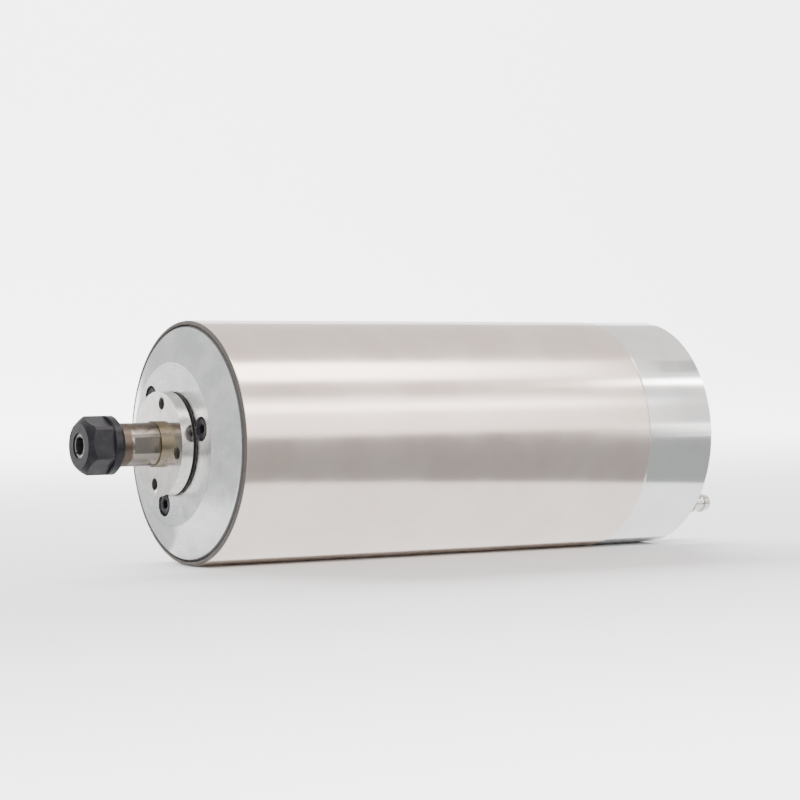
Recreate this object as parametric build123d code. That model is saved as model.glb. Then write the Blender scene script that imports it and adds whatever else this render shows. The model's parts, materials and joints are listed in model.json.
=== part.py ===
from build123d import *
from math import degrees, radians, tan
import os

# Water-cooled motor spindle. Millimetres. The shaft lies along X with its nose towards -X, +Z is up, and
# the origin is on the shaft's axis at the middle of the tube, where a clamp holds the spindle.

# ---- Clearances, all radial unless the name says otherwise ----
PRESS = 0.02  # parts pressed, screwed or bonded together
SLIP = 0.05  # parts that slide into the tube or turn on a thread
AIR_GAP = 0.4  # between what turns and what stands still
BALL_PLAY = 0.06  # between a ball and its raceway
POCKET_PLAY = 0.15  # between a ball and its pocket in the cage

# ---- Tube ----
TUBE_OD = 80.0
TUBE_WALL = 1.5
TUBE_LEN = 160.0
TUBE_RIM = 0.9  # round on the tube's front rim
TUBE_MOUTH = 0.35  # chamfer inside the rim

# ---- Ball bearings, all three alike ----
BEARING_BORE = 15.0
BEARING_OD = 32.0
BEARING_WIDTH = 9.0
BALL_D = 4.76
BALL_COUNT = 11
RING_SHARE = 22 / 85  # either ring's wall at its shoulder, as a share of bore to outside
RACE_CUT = 0.9  # how far the outer ring is relieved on its open side
CAGE_PLAY = 0.7  # between the cage and either ring's shoulder
CAGE_WIDTH = 7.2

# ---- Front flange and bearing cover ----
FLANGE_RISE = 5.2  # the cone's height in front of the tube
FLANGE_ROUND = 2.0  # round on the flange's edge; with the tube's it leaves a narrow groove
FLANGE_PROUD = 0.1  # the round's sharp corner, before rounding, in front of the tube
FLANGE_SEAT = 14.0  # length inside the tube
HUB_WALL = 7.0  # round the front bearings
HUB_LIP = 3.0  # ring that the second bearing stands against
COVER_PCD = 41.4
COVER_MARGIN = 5.9  # from the screw circle to the cover's edge
COVER_THICK = 6.0
COVER_SPIGOT = 2.2  # ring that holds the first bearing in
COVER_SCREWS = 3
COVER_TURN = 75.0  # first screw, degrees from +Z towards -Y
SPACER_WIDTH = 4.0

# ---- M4 socket-head screws ----
SCREW_D = 4.0
SCREW_HEAD_D = 7.0
SCREW_HEAD = 4.0
SCREW_SOCKET = 3.0  # across flats
SCREW_SUNK = 0.4  # head below the face that it sits in
HEAD_PLAY = 0.5  # round the head in its counterbore
SHANK_PLAY = 0.25
COVER_SCREW_LEN = 10.0
CAP_SCREW_GRIP = 10.4  # thread of a cap screw in the bearing plate

# ---- Labyrinth lock nut, turns with the shaft ----
LOCK_OD = 34.0
LOCK_THICK = 4.0
LOCK_GAP = 1.0  # black running gap behind its rim
LOCK_HUB_WALL = 2.3
LOCK_CHAMFER = 0.35
RIB_R = 14.4  # labyrinth rib's middle radius
RIB_WALL = 1.4
RIB_DEPTH = 1.2  # how far the rib reaches into the cover
PIN_PCD = 26.8
PIN_D = 4.0
PIN_DEPTH = 3.0
PIN_COUNT = 4
PIN_TURN = 10.75

# ---- Shaft ----
SHAFT_SHOWN = 15.7  # between the collet nut and the lock nut
NOSE_D = 14.0
NOSE_BAND = 4.0  # full round stretch behind the collet nut
FLAT_LEN = 9.4
FLAT_AF = 13.0
NOSE_CHAMFER = 0.4
TOOL_BORE = 7.2  # behind the collet
TOOL_BORE_LEN = 12.0
SHOULDER_RISE = 2.0  # shaft shoulder that the inner rings stand against
ROTOR_SEAT_RISE = 0.6
ROTOR_STOP_RISE = 2.0
ROTOR_STOP_LEN = 3.0
TAIL_OUT = 3.0  # shaft behind the rear lock nut

# ---- Collet and collet nut ----
COLLET_LEN = 18.0
COLLET_HOLE = 6.0
COLLET_D = 11.5
COLLET_ANGLE = 8.0  # of the long cone to the axis
HEAD_ANGLE = 30.0  # of the short front cone
HEAD_LEN = 2.2
GROOVE_LEN = 1.8
GROOVE_DEPTH = 0.75
COLLET_RIDGE = 0.5
SLITS = 4  # from each end
SLIT_WIDTH = 0.5
SLIT_SHORT = 2.6  # metal left at the closed end of a slit
NUT_LEN = 12.5
NUT_OD = 19.0
NUT_AF = 17.0
NUT_TURN = 22.0  # first flat, degrees from +Z towards -Y
HEX_LEN = 8.6
NUT_FRONT_R = 7.3  # front face inside its chamfer
NUT_FRONT_TAPER = 2.4
NUT_REAR_CHAMFER = 1.3
NUT_MOUTH = 0.4  # nut's face in front of the collet's
NUT_THREAD_PLAY = 0.1
EXTRACTOR = 1.1  # width of the off-centre ring that draws the collet out
EXTRACTOR_SHIFT = 0.6
COLLET_PLAY = 0.06

# ---- Water jacket, stator and rotor ----
JACKET_WALL = 7.45  # between the tube and the stator
CHANNELS = 8
CHANNEL_FLOOR = 2.5  # metal between a channel and the stator
CHANNEL_ARC = 20.0  # degrees
CHANNEL_LAND = 12.0  # closed jacket end, holding the O-ring
CROSSOVER = 11.0  # axial width of the way from one channel to the next
PORT_D = 4.0
ORING = 2.0  # width of the jacket's seal rings
ORING_DEPTH = 1.5
END_ROOM = 7.0  # between an end winding and its neighbour
OVERHANG = 12.0  # end winding past the stator
ROTOR_D = 33.2
SLOTS = 12
SLOT_ARC = 15.0
SLOT_ROOT_SHARE = 3 / 7  # back iron outside the slots, as a share of the stator's wall
TOOTH_TIP = 1.4
SLOT_LINER = 0.25
WINDING_WALL = 1.6  # end winding beyond the slots, inwards and outwards
BARS = 16
BAR_D = 2.6
BAR_DEPTH = 2.0  # from the rotor's surface to a bar's middle
END_RING = 5.0
END_RING_SHY = 0.4  # end ring's radius under the rotor's
BALANCE_RING = 4.0
BALANCE_WALL = 4.2
BALANCE_DRILL = 2.5
FRONT_DRILL_TURN = 40.0
REAR_DRILL_TURN = 205.0

# ---- Rear bearing plate and rear cap ----
CAP_LEN = 28.0  # as seen behind the tube
CAP_SHY = 0.2  # cap's radius under the tube's
CAP_SPIGOT = 8.0
CAP_EDGE = 0.8
CAP_FLOOR = 8.0
CAVITY_WALL = 8.0  # from the fittings' circle inwards to the cap's cavity
SEAM = 0.35  # chamfers that meet at the joint of tube and cap
PLATE_THICK = 16.0
PLATE_LIP = 2.0
SPRING_ROOM = 2.0
SPRING_SHEET = 0.5
SPRING_WALL = 2.6
CAP_SCREW_EDGE = 5.3  # from a cap screw's axis to the cap's outside
CAP_SCREWS = 4
CAP_SCREW_TURN = 45.0
TAIL_NUT_OD = 25.0
TAIL_NUT_LEN = 6.0
TAIL_NUT_SLOTS = 4
TAIL_NUT_SLOT = 3.0
LEAD_HOLE = 7.0
LEAD_HOLE_R = 22.5

# ---- Power socket and water fittings on the rear face ----
SOCKET_UP = 9.0
SOCKET_THREAD = 19.0
SOCKET_WALL = 1.6
SOCKET_FLANGE = 24.0
SOCKET_FLANGE_T = 2.5
SOCKET_OUT = 12.5  # barrel in front of its flange
SOCKET_IN = 12.0  # barrel behind the cap's face
GASKET = 0.8
INSERT_T = 12.0
INSERT_OUT = 1.0  # insert's face in front of the flange's seat
CONTACT_D = 2.5
CONTACT_PCD = 8.8
CONTACTS = 4
CONTACT_OUT = 6.0
CONTACT_TAIL = 3.0
FITTING_EDGE = 11.8  # from a fitting's axis to the cap's outside
FITTING_AF = 12.0
FITTING_HEX = 6.0
FITTING_THREAD = 8.0
FITTING_THREAD_LEN = 8.0
FITTING_BORE = 3.0
BARB_D = 7.0
BARB_NECK = 5.6
BARB_PITCH = 4.5
BARBS = 3
WASHER_T = 1.0
WASHER_RIM = 0.8  # washer outside the hexagon's flats

# ---- Stations along X ----
TUBE_FRONT = -TUBE_LEN / 2
TUBE_REAR = TUBE_LEN / 2
COVER_FACE = TUBE_FRONT - FLANGE_RISE
COVER_BACK = COVER_FACE + COVER_THICK
BEARING_A = COVER_BACK + COVER_SPIGOT
SPACER_FRONT = BEARING_A + BEARING_WIDTH
BEARING_B = SPACER_FRONT + SPACER_WIDTH
HUB_STOP = BEARING_B + BEARING_WIDTH
HUB_END = HUB_STOP + HUB_LIP
FLANGE_BACK = TUBE_FRONT + FLANGE_SEAT
PLATE_BACK = TUBE_REAR - CAP_SPIGOT
PLATE_FRONT = PLATE_BACK - PLATE_THICK
BEARING_C = PLATE_FRONT + PLATE_LIP + SPRING_ROOM
TAIL_NUT_FRONT = BEARING_C + BEARING_WIDTH
SHAFT_END = TAIL_NUT_FRONT + TAIL_NUT_LEN + TAIL_OUT
CAP_FACE = TUBE_REAR + CAP_LEN
STATOR_FRONT = HUB_END + END_ROOM + OVERHANG
STATOR_REAR = PLATE_FRONT - END_ROOM - OVERHANG
LOCK_BACK = COVER_FACE - LOCK_GAP
LOCK_FACE = LOCK_BACK - LOCK_THICK
NUT_BACK = LOCK_FACE - SHAFT_SHOWN
NUT_FACE = NUT_BACK - NUT_LEN
COLLET_FACE = NUT_FACE + NUT_MOUTH
CONE_START = COLLET_FACE + HEAD_LEN + GROOVE_LEN
NOSE_FACE = CONE_START + COLLET_RIDGE
COLLET_BACK = COLLET_FACE + COLLET_LEN
SOCKET_SEAT = CAP_FACE + GASKET

# ---- Radii that more than one part shares ----
TUBE_BORE_R = TUBE_OD / 2 - TUBE_WALL
INNER_R = TUBE_BORE_R - SLIP  # what slides into the tube
CAP_R = TUBE_OD / 2 - CAP_SHY
CAP_SCREW_R = CAP_R - CAP_SCREW_EDGE
FITTING_R = CAP_R - FITTING_EDGE
CAVITY_R = FITTING_R - CAVITY_WALL
CAP_SCREW_LEN = CAP_LEN + CAP_SPIGOT - SCREW_SUNK - SCREW_HEAD + CAP_SCREW_GRIP
COVER_R = COVER_PCD / 2 + COVER_MARGIN
PITCH_R = (BEARING_BORE + BEARING_OD) / 4
RACE_LAND = (BEARING_OD - BEARING_BORE) / 2 * (0.5 - RING_SHARE)  # from pitch circle to shoulder
CAGE_HALF = RACE_LAND - CAGE_PLAY  # half of the cage's wall
JOURNAL_R = BEARING_BORE / 2 - PRESS
HOUSING_R = BEARING_OD / 2 + PRESS
SHOULDER_R = JOURNAL_R + SHOULDER_RISE
ROTOR_SEAT_R = SHOULDER_R + ROTOR_SEAT_RISE
LOCK_HUB_R = BEARING_BORE / 2 + LOCK_HUB_WALL
STATOR_R = INNER_R - JACKET_WALL
STATOR_BORE_R = ROTOR_D / 2 + AIR_GAP
SLOT_OUTER_R = STATOR_R - (STATOR_R - STATOR_BORE_R) * SLOT_ROOT_SHARE
SLOT_INNER_R = STATOR_BORE_R + TOOTH_TIP
CHANNEL_R = STATOR_R + PRESS + CHANNEL_FLOOR
PORT_R = CHANNEL_R + PORT_D / 4
BAR_R = ROTOR_D / 2 - BAR_DEPTH
SOCKET_R = SOCKET_THREAD / 2


def turned(*points):
    """A solid of revolution about X from its half section, given as (x, radius) corners."""
    outline = Polyline(*[(x, 0, r) for x, r in points], close=True)
    return revolve(make_face(outline), Axis.X, 360)


def ring(front, back, inner, outer):
    """A plain ring, or a disc where the inner radius is zero."""
    return turned((front, inner), (back, inner), (back, outer), (front, outer))


def rod(front, back, radius, y=0.0, z=0.0):
    """A round bar along X."""
    bar = Cylinder(radius, back - front, align=(Align.CENTER, Align.CENTER, Align.MIN))
    return Pos(front, y, z) * Rot(0, 90, 0) * bar


def group(shapes):
    """Several alike solids as one piece of the parts list."""
    return Compound(children=list(shapes))


def hexagon(front, back, across_flats, turn=0.0):
    """A hexagonal bar along X, its first flat turned from +Z towards -Y."""
    outline = Plane.YZ.offset(front) * RegularPolygon(across_flats / 2, 6, major_radius=False)
    return Rot(turn, 0, 0) * extrude(outline, back - front)


def around(shape, count, first=0.0):
    """Copies of a shape spread evenly round the axis; angles run from +Z towards -Y."""
    return [Rot(first + 360 * i / count, 0, 0) * shape for i in range(count)]


def sector(front, back, inner, outer, middle, arc):
    """A piece of a ring, centred on an angle."""
    corners = [(front, 0, inner), (back, 0, inner), (back, 0, outer), (front, 0, outer)]
    piece = revolve(make_face(Polyline(*corners, close=True)), Axis.X, arc)
    return Rot(middle - arc / 2, 0, 0) * piece


def socket_screw(length):
    """A socket-head screw along +X, with its head's underside at the origin."""
    head = rod(-SCREW_HEAD, 0, SCREW_HEAD_D / 2)
    shank = rod(0, length, SCREW_D / 2)
    return head + shank - hexagon(-SCREW_HEAD, -SCREW_HEAD / 2, SCREW_SOCKET)


# ---------------------------------------------------------------- tube and front end
def body_tube():
    """The stainless tube, with a rounded front rim and a small chamfer at its rear seam."""
    outer = TUBE_OD / 2
    mouth = min(TUBE_MOUTH, TUBE_WALL / 4)
    tube = turned(
        (TUBE_FRONT, TUBE_BORE_R + mouth),
        (TUBE_FRONT + mouth, TUBE_BORE_R),
        (TUBE_REAR, TUBE_BORE_R),
        (TUBE_REAR, outer - SEAM),
        (TUBE_REAR - SEAM, outer),
        (TUBE_FRONT, outer),
    )
    rim = tube.faces().sort_by(Axis.X)[0].edges().sort_by(SortBy.RADIUS)[-1]
    return fillet(rim, min(TUBE_RIM, 0.6 * TUBE_WALL))


def front_flange():
    """The coned front end: it carries the two front bearings in a hub and takes the cover in a recess."""
    recess = COVER_R + SLIP
    flange = turned(
        (COVER_FACE, recess),
        (TUBE_FRONT - FLANGE_PROUD, INNER_R),
        (FLANGE_BACK, INNER_R),
        (FLANGE_BACK, HOUSING_R + HUB_WALL),
        (HUB_END, HOUSING_R + HUB_WALL),
        (HUB_END, PITCH_R + RACE_LAND),
        (HUB_STOP, PITCH_R + RACE_LAND),
        (HUB_STOP, HOUSING_R),
        (COVER_BACK, HOUSING_R),
        (COVER_BACK, recess),
    )
    rims = flange.edges().filter_by(GeomType.CIRCLE).filter_by(lambda edge: abs(edge.radius - INNER_R) < SLIP)
    flange = fillet(rims.sort_by(Axis.X)[0], FLANGE_ROUND)
    thread_end = screw_seat() + COVER_SCREW_LEN + SCREW_D / 2
    thread = rod(COVER_BACK, thread_end, SCREW_D / 2 + PRESS, z=COVER_PCD / 2)
    for hole in around(thread, COVER_SCREWS, COVER_TURN):
        flange -= hole
    return flange


def screw_seat():
    """Where the cover screws' heads stand, inside their counterbores."""
    return COVER_FACE + SCREW_SUNK + SCREW_HEAD


def front_bearing_cover():
    """The flat disc that holds the first bearing in, with counterbored screws and the labyrinth's groove."""
    bore = LOCK_HUB_R + AIR_GAP
    disc = turned(
        (COVER_FACE, bore),
        (COVER_FACE, COVER_R),
        (COVER_BACK, COVER_R),
        (COVER_BACK, HOUSING_R - SLIP),
        (BEARING_A, HOUSING_R - SLIP),
        (BEARING_A, PITCH_R + RACE_LAND),
        (COVER_BACK, bore),
    )
    groove_wall = RIB_WALL / 2 + AIR_GAP
    groove_depth = RIB_DEPTH + AIR_GAP
    disc -= ring(COVER_FACE, COVER_FACE + groove_depth, RIB_R - groove_wall, RIB_R + groove_wall)
    way = rod(COVER_FACE, COVER_BACK, SCREW_D / 2 + SHANK_PLAY, z=COVER_PCD / 2)
    way += rod(COVER_FACE, screw_seat(), SCREW_HEAD_D / 2 + HEAD_PLAY, z=COVER_PCD / 2)
    for hole in around(way, COVER_SCREWS, COVER_TURN):
        disc -= hole
    return disc


def cover_screws():
    """The screws of the bearing cover, one group of alike pieces."""
    screw = Pos(screw_seat(), 0, COVER_PCD / 2) * socket_screw(COVER_SCREW_LEN)
    return group(around(screw, COVER_SCREWS, COVER_TURN))


def labyrinth_nut():
    """The flanged nut that clamps the inner rings; its rib runs in the cover's groove."""
    bore = BEARING_BORE / 2
    rib_in, rib_out = RIB_R - RIB_WALL / 2, RIB_R + RIB_WALL / 2
    rim = LOCK_OD / 2
    nut = turned(
        (LOCK_FACE, bore),
        (LOCK_FACE, rim - LOCK_CHAMFER),
        (LOCK_FACE + LOCK_CHAMFER, rim),
        (LOCK_BACK, rim),
        (LOCK_BACK, rib_out),
        (COVER_FACE + RIB_DEPTH, rib_out),
        (COVER_FACE + RIB_DEPTH, rib_in),
        (LOCK_BACK, rib_in),
        (LOCK_BACK, LOCK_HUB_R),
        (BEARING_A, LOCK_HUB_R),
        (BEARING_A, bore),
    )
    pin_hole = rod(LOCK_FACE, LOCK_FACE + PIN_DEPTH, PIN_D / 2, z=PIN_PCD / 2)
    for hole in around(pin_hole, PIN_COUNT, PIN_TURN):
        nut -= hole
    return nut


# ---------------------------------------------------------------- bearings
def race(front):
    """The path of the balls, as a torus that both rings are cut with."""
    return Pos(front + BEARING_WIDTH / 2, 0, 0) * Rot(0, 90, 0) * Torus(PITCH_R, BALL_D / 2 + BALL_PLAY)


def bearing_outer(front, open_side):
    """An outer ring: its bore is relieved on the open side, as on an angular-contact bearing."""
    land = PITCH_R + RACE_LAND
    low = land + RACE_CUT
    middle = front + BEARING_WIDTH / 2
    back = front + BEARING_WIDTH
    front_land, back_land = (low, land) if open_side < 0 else (land, low)
    outer = turned(
        (front, front_land),
        (middle, front_land),
        (middle, back_land),
        (back, back_land),
        (back, BEARING_OD / 2),
        (front, BEARING_OD / 2),
    )
    return outer - race(front)


def bearing_inner(front):
    """An inner ring."""
    return ring(front, front + BEARING_WIDTH, BEARING_BORE / 2, PITCH_R - RACE_LAND) - race(front)


def bearing_balls(front):
    """One bearing's balls."""
    ball = Pos(front + BEARING_WIDTH / 2, 0, PITCH_R) * Sphere(BALL_D / 2)
    return group(around(ball, BALL_COUNT))


def bearing_cage(front):
    """The ring that keeps the balls apart, with a round pocket for each."""
    middle = front + BEARING_WIDTH / 2
    cage = ring(middle - CAGE_WIDTH / 2, middle + CAGE_WIDTH / 2, PITCH_R - CAGE_HALF, PITCH_R + CAGE_HALF)
    drill = Pos(middle, 0, PITCH_R) * Cylinder(BALL_D / 2 + POCKET_PLAY, 4 * CAGE_HALF)
    for pocket in around(drill, BALL_COUNT):
        cage -= pocket
    return cage


def preload_spring():
    """The coned spring washer that pushes the rear bearing's outer ring back."""
    front = BEARING_C - SPRING_ROOM
    outer = BEARING_OD / 2 - BALL_PLAY
    inner = outer - SPRING_WALL
    return turned(
        (front, inner),
        (front + SPRING_SHEET, inner),
        (BEARING_C, outer),
        (BEARING_C - SPRING_SHEET, outer),
    )


# ---------------------------------------------------------------- shaft, collet and nut
def collet_radius(x):
    """The collet's radius on its long cone."""
    return COLLET_D / 2 - (x - NOSE_FACE) * tan(radians(COLLET_ANGLE))


def spindle_shaft():
    """The stepped shaft: coned nose for the collet, spanner flats, journals, rotor seat and stop."""
    nose = NOSE_D / 2
    journal_front = NUT_BACK + NOSE_BAND + FLAT_LEN
    stop_front = rotor_stop()
    cone_back = COLLET_BACK + COLLET_RIDGE
    shaft = turned(
        (NOSE_FACE, 0),
        (NOSE_FACE, nose - NOSE_CHAMFER),
        (NOSE_FACE + NOSE_CHAMFER, nose),
        (journal_front, nose),
        (journal_front, JOURNAL_R),
        (HUB_STOP, JOURNAL_R),
        (HUB_STOP, SHOULDER_R),
        (HUB_END, SHOULDER_R),
        (HUB_END, ROTOR_SEAT_R),
        (stop_front, ROTOR_SEAT_R),
        (stop_front, ROTOR_SEAT_R + ROTOR_STOP_RISE),
        (stop_front + ROTOR_STOP_LEN, ROTOR_SEAT_R + ROTOR_STOP_RISE),
        (stop_front + ROTOR_STOP_LEN, SHOULDER_R),
        (BEARING_C, SHOULDER_R),
        (BEARING_C, JOURNAL_R),
        (SHAFT_END - NOSE_CHAMFER, JOURNAL_R),
        (SHAFT_END, JOURNAL_R - NOSE_CHAMFER),
        (SHAFT_END, 0),
    )
    shaft -= turned(
        (NOSE_FACE, 0),
        (NOSE_FACE, collet_radius(NOSE_FACE) + COLLET_PLAY),
        (cone_back, collet_radius(cone_back) + COLLET_PLAY),
        (cone_back, TOOL_BORE / 2),
        (cone_back + TOOL_BORE_LEN, TOOL_BORE / 2),
        (cone_back + TOOL_BORE_LEN + TOOL_BORE / 4, 0),
    )
    flat_front = NUT_BACK + NOSE_BAND
    for side in (-1, 1):
        cutter = Box(FLAT_LEN, NOSE_D, NOSE_D, align=(Align.MIN, Align.CENTER, Align.CENTER))
        shaft -= Pos(flat_front, side * (FLAT_AF + NOSE_D) / 2, 0) * cutter
    return shaft


def rotor_stop():
    """Where the rear balance ring stands against the shaft's stop."""
    return STATOR_REAR + END_RING + BALANCE_RING


def collet():
    """A spring collet: two cones, an extractor groove, a tool hole and slits from both ends in turn."""
    top = COLLET_D / 2
    groove_front = COLLET_FACE + HEAD_LEN
    head_small = head_radius() - HEAD_LEN * tan(radians(HEAD_ANGLE))
    body = turned(
        (COLLET_FACE, COLLET_HOLE / 2),
        (COLLET_FACE, head_small),
        (groove_front, head_radius()),
        (groove_front, head_radius() - GROOVE_DEPTH),
        (CONE_START, head_radius() - GROOVE_DEPTH),
        (CONE_START, top),
        (NOSE_FACE, top),
        (COLLET_BACK, collet_radius(COLLET_BACK)),
        (COLLET_BACK, COLLET_HOLE / 2),
    )
    slit_len = COLLET_LEN - SLIT_SHORT
    slit = Box(slit_len, SLIT_WIDTH, top, align=(Align.MIN, Align.CENTER, Align.MIN))
    for cut in around(Pos(COLLET_FACE, 0, COLLET_HOLE / 4) * slit, SLITS, 180 / SLITS):
        body -= cut
    for cut in around(Pos(COLLET_BACK - slit_len, 0, COLLET_HOLE / 4) * slit, SLITS):
        body -= cut
    return body


def head_radius():
    """The larger radius of the collet's front cone, a little under the long cone's."""
    return COLLET_D / 2 - COLLET_RIDGE / 2


def collet_nut():
    """The hexagonal collet nut: coned lip, off-centre extractor ring and threaded bore."""
    outer = NUT_OD / 2
    shell = turned(
        (NUT_FACE, 0),
        (NUT_FACE, NUT_FRONT_R),
        (NUT_FACE + NUT_FRONT_TAPER, outer),
        (NUT_BACK - NUT_REAR_CHAMFER, outer),
        (NUT_BACK, outer - NUT_REAR_CHAMFER),
        (NUT_BACK, 0),
    )
    spanner = hexagon(NUT_FACE, NUT_FACE + HEX_LEN, NUT_AF, NUT_TURN)
    shell &= spanner + rod(NUT_FACE + HEX_LEN, NUT_BACK, outer)
    groove_front = COLLET_FACE + HEAD_LEN
    lip_back = groove_front + (GROOVE_LEN - EXTRACTOR) / 2
    ring_back = lip_back + EXTRACTOR
    lip_large = head_radius() + COLLET_PLAY + (lip_back - groove_front) * tan(radians(HEAD_ANGLE))
    lip_small = lip_large - (lip_back - NUT_FACE) * tan(radians(HEAD_ANGLE))
    thread_r = NOSE_D / 2 + NUT_THREAD_PLAY
    shell -= turned((NUT_FACE, 0), (NUT_FACE, lip_small), (lip_back, lip_large), (lip_back, 0))
    shell -= rod(lip_back, ring_back, COLLET_D / 2 + COLLET_PLAY, z=EXTRACTOR_SHIFT)
    shell -= rod(ring_back, NOSE_FACE, COLLET_D / 2 + AIR_GAP)
    shell -= rod(NOSE_FACE - AIR_GAP, NUT_BACK, thread_r)
    return shell


def tail_lock_nut():
    """The slotted round nut behind the rear bearing."""
    nut = ring(TAIL_NUT_FRONT, TAIL_NUT_FRONT + TAIL_NUT_LEN, BEARING_BORE / 2, TAIL_NUT_OD / 2)
    slot_front = TAIL_NUT_FRONT + TAIL_NUT_LEN / 3
    slot = Box(TAIL_NUT_LEN, TAIL_NUT_SLOT, TAIL_NUT_SLOT, align=(Align.MIN, Align.CENTER, Align.CENTER))
    for cut in around(Pos(slot_front, 0, TAIL_NUT_OD / 2) * slot, TAIL_NUT_SLOTS):
        nut -= cut
    return nut


# ---------------------------------------------------------------- rotor
def rotor_core():
    """The rotor's sheet stack, with a hole for each bar of the squirrel cage."""
    core = ring(STATOR_FRONT, STATOR_REAR, ROTOR_SEAT_R + PRESS, ROTOR_D / 2)
    for hole in around(rod(STATOR_FRONT, STATOR_REAR, BAR_D / 2 + PRESS, z=BAR_R), BARS):
        core -= hole
    return core


def rotor_cage():
    """The copper squirrel cage: bars through the stack, joined by a ring at each end."""
    inner, outer = BAR_R - BAR_D, ROTOR_D / 2 - END_RING_SHY
    cage = ring(STATOR_FRONT - END_RING, STATOR_FRONT, inner, outer)
    cage += ring(STATOR_REAR, STATOR_REAR + END_RING, inner, outer)
    for bar in around(rod(STATOR_FRONT, STATOR_REAR, BAR_D / 2, z=BAR_R), BARS):
        cage += bar
    return cage


def balance_ring(front, drill_turn):
    """A brass ring beside the squirrel cage, drilled where weight was taken out."""
    inner = ROTOR_SEAT_R + PRESS
    disc = ring(front, front + BALANCE_RING, inner, inner + BALANCE_WALL)
    drill = rod(front, front + BALANCE_RING / 2, BALANCE_DRILL / 2, z=inner + BALANCE_WALL / 2)
    return disc - Rot(drill_turn, 0, 0) * drill


# ---------------------------------------------------------------- stator and water jacket
def slot_shape(grow):
    """A winding slot of the stator, or the copper in it where grow is negative."""
    shrink = degrees_at(SLOT_OUTER_R, -grow)
    front, back = STATOR_FRONT, STATOR_REAR
    return sector(front, back, SLOT_INNER_R - grow, SLOT_OUTER_R + grow, 0, SLOT_ARC - 2 * shrink)


def degrees_at(radius, length):
    """The angle that a short length covers at a radius."""
    return degrees(length / radius)


def stator_core():
    """The stator's sheet stack with its winding slots."""
    core = ring(STATOR_FRONT, STATOR_REAR, STATOR_BORE_R, STATOR_R)
    for slot in around(slot_shape(0), SLOTS):
        core -= slot
    return core


def stator_windings():
    """The copper: a bundle in each slot, and the bound end windings that stand out at both ends."""
    inner = SLOT_INNER_R + SLOT_LINER
    outer = SLOT_OUTER_R + WINDING_WALL
    soft = WINDING_WALL
    copper = turned(
        (STATOR_FRONT, inner),
        (STATOR_FRONT, outer),
        (STATOR_FRONT - OVERHANG + soft, outer),
        (STATOR_FRONT - OVERHANG, outer - soft),
        (STATOR_FRONT - OVERHANG, inner + soft),
        (STATOR_FRONT - OVERHANG + soft, inner),
    )
    copper += turned(
        (STATOR_REAR, inner),
        (STATOR_REAR, outer),
        (STATOR_REAR + OVERHANG - soft, outer),
        (STATOR_REAR + OVERHANG, outer - soft),
        (STATOR_REAR + OVERHANG, inner + soft),
        (STATOR_REAR + OVERHANG - soft, inner),
    )
    for bundle in around(slot_shape(-SLOT_LINER), SLOTS):
        copper += bundle
    return copper


def channel_angle(index):
    """The middle of a water channel; the first and the last lie either side of straight down."""
    return 180 + 360 / CHANNELS * (index + 0.5)


def water_jacket():
    """The aluminium sleeve between stator and tube, with one water channel folded back and forth round it."""
    jacket = ring(FLANGE_BACK, PLATE_FRONT, STATOR_R + PRESS, INNER_R)
    front, back = FLANGE_BACK + CHANNEL_LAND, PLATE_FRONT - CHANNEL_LAND
    proud = INNER_R + TUBE_WALL
    pitch = 360 / CHANNELS
    for i in range(CHANNELS):
        jacket -= sector(front, back, CHANNEL_R, proud, channel_angle(i), CHANNEL_ARC)
    for i in range(CHANNELS - 1):
        start = front if i % 2 == 0 else back - CROSSOVER
        jacket -= sector(start, start + CROSSOVER, CHANNEL_R, proud, channel_angle(i) + pitch / 2, pitch)
    for i in (0, CHANNELS - 1):
        port = rod(back, PLATE_FRONT, PORT_D / 2, z=PORT_R)
        jacket -= Rot(channel_angle(i), 0, 0) * port
    for middle in (FLANGE_BACK + CHANNEL_LAND / 2, PLATE_FRONT - CHANNEL_LAND / 2):
        half = ORING / 2 + SLIP
        jacket -= ring(middle - half, middle + half, INNER_R - ORING_DEPTH, proud)
    return jacket


def jacket_rings():
    """The two rubber rings that seal the jacket in the tube."""
    rings = []
    for middle in (FLANGE_BACK + CHANNEL_LAND / 2, PLATE_FRONT - CHANNEL_LAND / 2):
        section = ring(middle - ORING / 2, middle + ORING / 2, INNER_R - ORING_DEPTH + SLIP, INNER_R)
        rings.append(fillet(section.edges(), ORING_DEPTH / 5))
    return group(rings)


# ---------------------------------------------------------------- rear end
def water_way(front, back, front_r, back_r, radius, index):
    """A drilled way for water, straight or slanted, at the angle of a channel."""
    start = Vector(front, 0, front_r)
    end = Vector(back, 0, back_r)
    plane = Plane(origin=start, z_dir=end - start)
    return Rot(channel_angle(index), 0, 0) * extrude(plane * Circle(radius), (end - start).length)


def slanted_port(index):
    """The slanted way through the rear plate, from the cap's port out to the jacket's."""
    reach = PORT_D
    slope = (FITTING_R - PORT_R) / PLATE_THICK
    front_r, back_r = PORT_R - slope * reach, FITTING_R + slope * reach
    return water_way(PLATE_FRONT - reach, PLATE_BACK + reach, front_r, back_r, PORT_D / 2, index)


def rear_bearing_plate():
    """The plate that carries the rear bearing, with two slanted water ways and a hole for the leads."""
    plate = turned(
        (PLATE_FRONT, SHOULDER_R + AIR_GAP),
        (PLATE_FRONT, INNER_R),
        (PLATE_BACK, INNER_R),
        (PLATE_BACK, HOUSING_R),
        (PLATE_FRONT + PLATE_LIP, HOUSING_R),
        (PLATE_FRONT + PLATE_LIP, SHOULDER_R + AIR_GAP),
    )
    for i in (0, CHANNELS - 1):
        plate -= slanted_port(i)
    thread_front = cap_screw_seat() - CAP_SCREW_LEN - SCREW_D / 2
    thread = rod(thread_front, PLATE_BACK, SCREW_D / 2 + PRESS, z=CAP_SCREW_R)
    for hole in around(thread, CAP_SCREWS, CAP_SCREW_TURN):
        plate -= hole
    return plate - rod(PLATE_FRONT, PLATE_BACK, LEAD_HOLE / 2, z=LEAD_HOLE_R)


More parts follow.
